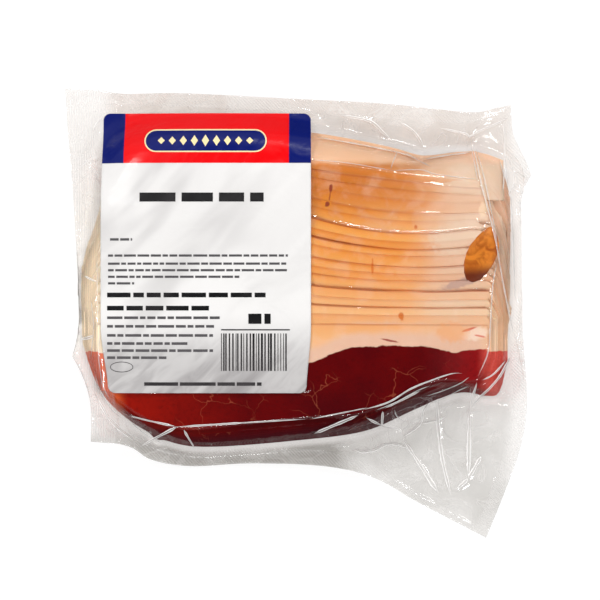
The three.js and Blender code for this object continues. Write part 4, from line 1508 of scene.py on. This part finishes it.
# %% Film
def film_material(name, haze_over_meat, haze_free, crinkle_strength, rib=False):
    film, tree, shader, place = new_material(name)
    axes = put(tree, "SeparateXYZ", Vector=place).outputs
    crushed = use(tree, crinkle, Place=place, Scale=70.0)
    fine_crush = use(tree, crinkle, Place=place, Scale=240.0)
    cloud = noise(tree, place, 42.0, 4.0, 0.5)
    seal, hatch = seal_and_hatch(tree, place, axes, attribute(tree, "inside"))
    free = ease(tree, attribute(tree, "stand_off"), 1.8 * MM, 5.6 * MM)

    if rib:
        # Painted highlight: a rib's milky white follows its painted sheen, strongest on both flanks.
        haze = times(tree, scaled(tree, attribute(tree, "sheen"), 0.9, 0.12), scaled(tree, cloud, 1.0, 0.6),
                     clamp=True)
    else:
        haze = scaled(tree, free, haze_free, haze_over_meat)
        haze = times(tree, haze, scaled(tree, cloud, 1.3, 0.35))
        haze = calc(tree, "ADD", haze, times(tree, hatch, 0.08))
        haze = calc(tree, "ADD", haze, times(tree, times(tree, crushed["Wisps"], free), 0.12))
        haze = calc(tree, "ADD", haze, times(tree, seal, 0.05), clamp=True)

    height = times(tree, crushed["Height"], scaled(tree, free, 1.0, 0.06))
    height = scaled(tree, fine_crush["Height"], 0.08, height)
    height = scaled(tree, hatch, 0.05, height)
    relief = put(tree, "Bump", Strength=crinkle_strength, Distance=1.0 * MM, Height=height).outputs[0]

    facing = put(tree, "LayerWeight", Blend=0.5, Normal=relief).outputs["Facing"]
    grazing = calc(tree, "POWER", facing, 3.0)
    clear = tint(tree, grazing, film_tint(tree, axes, cloud, free), rgb(176, 170, 166))
    through = put(tree, "BsdfTransparent", Color=clear)
    milky = put(tree, "BsdfDiffuse", Color=rgb(252, 250, 248), Normal=relief)
    gloss = put(tree, "BsdfGlossy", {"distribution": "GGX"}, Color=(1, 1, 1, 1), Roughness=0.08,
                Normal=relief)
    bounce = scaled(tree, calc(tree, "POWER", facing, 5.0), 0.95, 0.04)
    whole = mix_shaders(tree, bounce, mix_shaders(tree, haze, through, milky), gloss)
    tree.nodes.remove(shader)
    feed(tree, whole.outputs[0], tree.nodes["Material Output"].inputs["Surface"])
    return film


clear_film = film_material("clear_film", 0.0005, 0.13, 0.6)
back_film = film_material("back_film", 0.01, 0.10, 0.4)
folded_film = film_material("folded_film", 0.1, 0.1, 0.2, rib=True)
dress(clear_film, film_front)
dress(back_film, film_back)
dress(folded_film, film_ribs)
print("film finishes", [m.name for m in (clear_film, back_film, folded_film)])

# %% [markdown]
# The paper is white with a satin face. Shade is painted on it: it is greyer towards its foot, at its
# upper left and in slanting bands, where it has creased over the meat and turns away from the light.
# The inks are the same finish in other colours, and the header inks have a clear gloss over them. The
# bands of painted shade come from one noise that is stretched and turned, and each ink takes them
# with a strength of its own.

# %% Label finishes
BAND_SIZE = (0.022, 0.075, 1.0)
BAND_TURN = -0.8
# The grey of the painted shade.
SHADE_COLOUR = rgb(112, 106, 108)


def painted_shade(tree, axes, bands, folds, shade_strength):
    """How much painted shade greys the label at each place."""
    low = ease(tree, scaled(tree, bands, 16 * MM, axes["Y"]), 8 * MM, -20 * MM)
    to_left = ease(tree, axes["X"], -6 * MM, -48 * MM)
    band_share = scaled(tree, to_left, 0.7 * shade_strength, 0.4 * shade_strength)
    shade_share = times(tree, ease(tree, bands, 0.40, 0.70), band_share)
    shade_share = scaled(tree, times(tree, low, ease(tree, folds, 0.70, 0.30)), 0.8 * shade_strength, shade_share)
    shade_share = scaled(tree, low, 1.65 * shade_strength, shade_share, clamp=True)
    upper_left = times(tree, to_left, ease(tree, axes["Y"], 10 * MM, 40 * MM))
    return scaled(tree, upper_left, 0.3 * shade_strength, shade_share, clamp=True)


def print_material(name, colour, roughness, gloss, shade_strength):
    ink, tree, shader, place = new_material(name)
    axes = put(tree, "SeparateXYZ", Vector=place).outputs
    slant = put(tree, "Mapping", {"vector_type": "TEXTURE"}, Vector=place, Scale=BAND_SIZE,
                Rotation=(0.0, 0.0, BAND_TURN))
    bands = noise(tree, slant.outputs[0], 1.0, 2.0, 0.6)
    folds = noise(tree, slant.outputs[0], 3.2, 4.0, 1.2)
    shade_share = painted_shade(tree, axes, bands, folds, shade_strength)
    # Painted shade greys each colour towards a dull grey.
    feed(tree, tint(tree, shade_share, colour, SHADE_COLOUR), shader.inputs["Base Color"])
    shader.inputs["Roughness"].default_value = roughness
    shader.inputs["Specular IOR Level"].default_value = 0.15
    shader.inputs["Coat Weight"].default_value = gloss
    shader.inputs["Coat Roughness"].default_value = 0.08
    waved = times(tree, noise(tree, place, 30.0, 3.0, 0.8), 4.0)
    waved = calc(tree, "ADD", waved, times(tree, noise(tree, place, 900.0, 3.0), 0.04))
    emboss(tree, shader, scaled(tree, folds, 0.5, waved), 0.6, 1.0 * MM)
    return ink


paper = print_material("satin_paper", rgb(237, 235, 233), 0.42, 0.08, 0.24)
navy_ink = print_material("navy_ink", rgb(2, 20, 104), 0.3, 0.35, 0.05)
red_ink = print_material("red_ink", rgb(238, 0, 8), 0.3, 0.28, 0.05)
cream_ink = print_material("cream_ink", rgb(250, 232, 180), 0.35, 0.6, 0.05)
black_ink = print_material("black_ink", rgb(18, 18, 20), 0.45, 0.1, 0.10)
grey_ink = print_material("grey_ink", rgb(84, 82, 84), 0.45, 0.1, 0.10)
dress(paper, label_paper)
dress(navy_ink, header_navy, badge_navy)
dress(red_ink, header_red)
dress(cream_ink, badge_rim, badge_row)
dress(black_ink, ink_black, print_oval)
dress(grey_ink, ink_grey)
print("materials", len(bpy.data.materials))

# %% [markdown]
# The pack lies on a plain white sheet. The sheet gives off a little light of its own, so that it stays
# white round the pack and shines through the loose film from below, as a light table does.

# %% Stage
floor_grid = bmesh.new()
bmesh.ops.create_grid(floor_grid, x_segments=1, y_segments=1, size=2.0)
bmesh.ops.translate(floor_grid, vec=(0, 0, -0.3 * MM), verts=floor_grid.verts)
floor = new_object("floor", floor_grid, smooth=False)
white_sheet, tree, shader, place = new_material("white_sheet")
shader.inputs["Base Color"].default_value = (0.25, 0.25, 0.25, 1)
shader.inputs["Roughness"].default_value = 0.9
shader.inputs["Emission Color"].default_value = (1.0, 0.998, 0.996, 1)
shader.inputs["Emission Strength"].default_value = 0.80
dress(white_sheet, floor)
floor.visible_glossy = False
print("stage", floor.name)

# %% [markdown]
# Gloss needs something bright to mirror and dark to set it off. The sky is bright in a ring above the
# horizon, and dark overhead and below, so level film stays clear, while its slopes and creases glint.
# Six lamps stand in the ring: small enough for crisp lights on the crests, and on all sides.

# %% Light
world = bpy.data.worlds.new("studio")
bpy.context.scene.world = world
world.use_nodes = True
sky_tree = world.node_tree
sky_axes = put(sky_tree, "SeparateXYZ", Vector=put(sky_tree, "TexCoord").outputs["Generated"]).outputs
DIM = (0.03, 0.03, 0.031, 1)
BRIGHT = (0.42, 0.42, 0.425, 1)
overhead = ease(sky_tree, sky_axes["Z"], 0.55, 0.86)
above_horizon = ease(sky_tree, sky_axes["Z"], -0.02, 0.06)
low_ring = calc(sky_tree, "SUBTRACT", above_horizon, overhead, clamp=True)
feed(sky_tree, tint(sky_tree, low_ring, DIM, BRIGHT), sky_tree.nodes["Background"].inputs["Color"])
sky_tree.nodes["Background"].inputs["Strength"].default_value = 1.0

# Name, azimuth and elevation in degrees, width and height in metres, and strength.
LAMPS = [
    ("front", 185, 46, 0.42, 0.10, 0.42),
    ("front_right", 132, 42, 0.14, 0.14, 0.30),
    ("rear_left", 318, 50, 0.20, 0.20, 0.50),
    ("rear", 20, 40, 0.36, 0.12, 0.80),
    ("right", 82, 42, 0.12, 0.30, 0.54),
    ("left", 262, 34, 0.16, 0.16, 0.82),
]
LAMP_DISTANCE = 1.1
LAMP_LEVEL = 1.32
for name, azimuth, elevation, width, height, strength in LAMPS:
    lamp = bpy.data.lights.new(name, "AREA")
    lamp.shape = "RECTANGLE"
    lamp.size, lamp.size_y = width, height
    lamp.energy = LAMP_LEVEL * strength * math.pi * LAMP_DISTANCE**2
    holder = bpy.data.objects.new(name, lamp)
    a, e = math.radians(azimuth), math.radians(elevation)
    heading = Vector((math.sin(a) * math.cos(e), math.cos(a) * math.cos(e), math.sin(e)))
    holder.location = heading * LAMP_DISTANCE
    holder.rotation_euler = heading.to_track_quat("Z", "Y").to_euler()
    bpy.context.collection.objects.link(holder)
bpy.context.scene.view_settings.view_transform = "Standard"
print("lamps", len(LAMPS))

# %% [markdown]
# The photograph looks straight down at the pack. The camera does the same from one and a half metres,
# which keeps the raised label and the low rim at nearly the same scale.

# %% Camera
CAMERA_HEIGHT = 1.5
PICTURE_WIDTH = 600
VIEW_WIDTH = PICTURE_WIDTH * PX
VIEW_CENTRE = (0.8 * MM, 6.5 * MM)
STACK_MIDDLE = 20 * MM
camera_data = bpy.data.cameras.new("camera")
camera_data.sensor_width = 36.0
camera_data.lens = camera_data.sensor_width * CAMERA_HEIGHT / VIEW_WIDTH
camera_data.clip_start = 0.1
camera_data.clip_end = 10.0
camera = bpy.data.objects.new("camera", camera_data)
camera.location = (VIEW_CENTRE[0], VIEW_CENTRE[1], STACK_MIDDLE + CAMERA_HEIGHT)
bpy.context.collection.objects.link(camera)
bpy.context.scene.camera = camera
print("camera sees mm", round(VIEW_WIDTH / MM, 1))
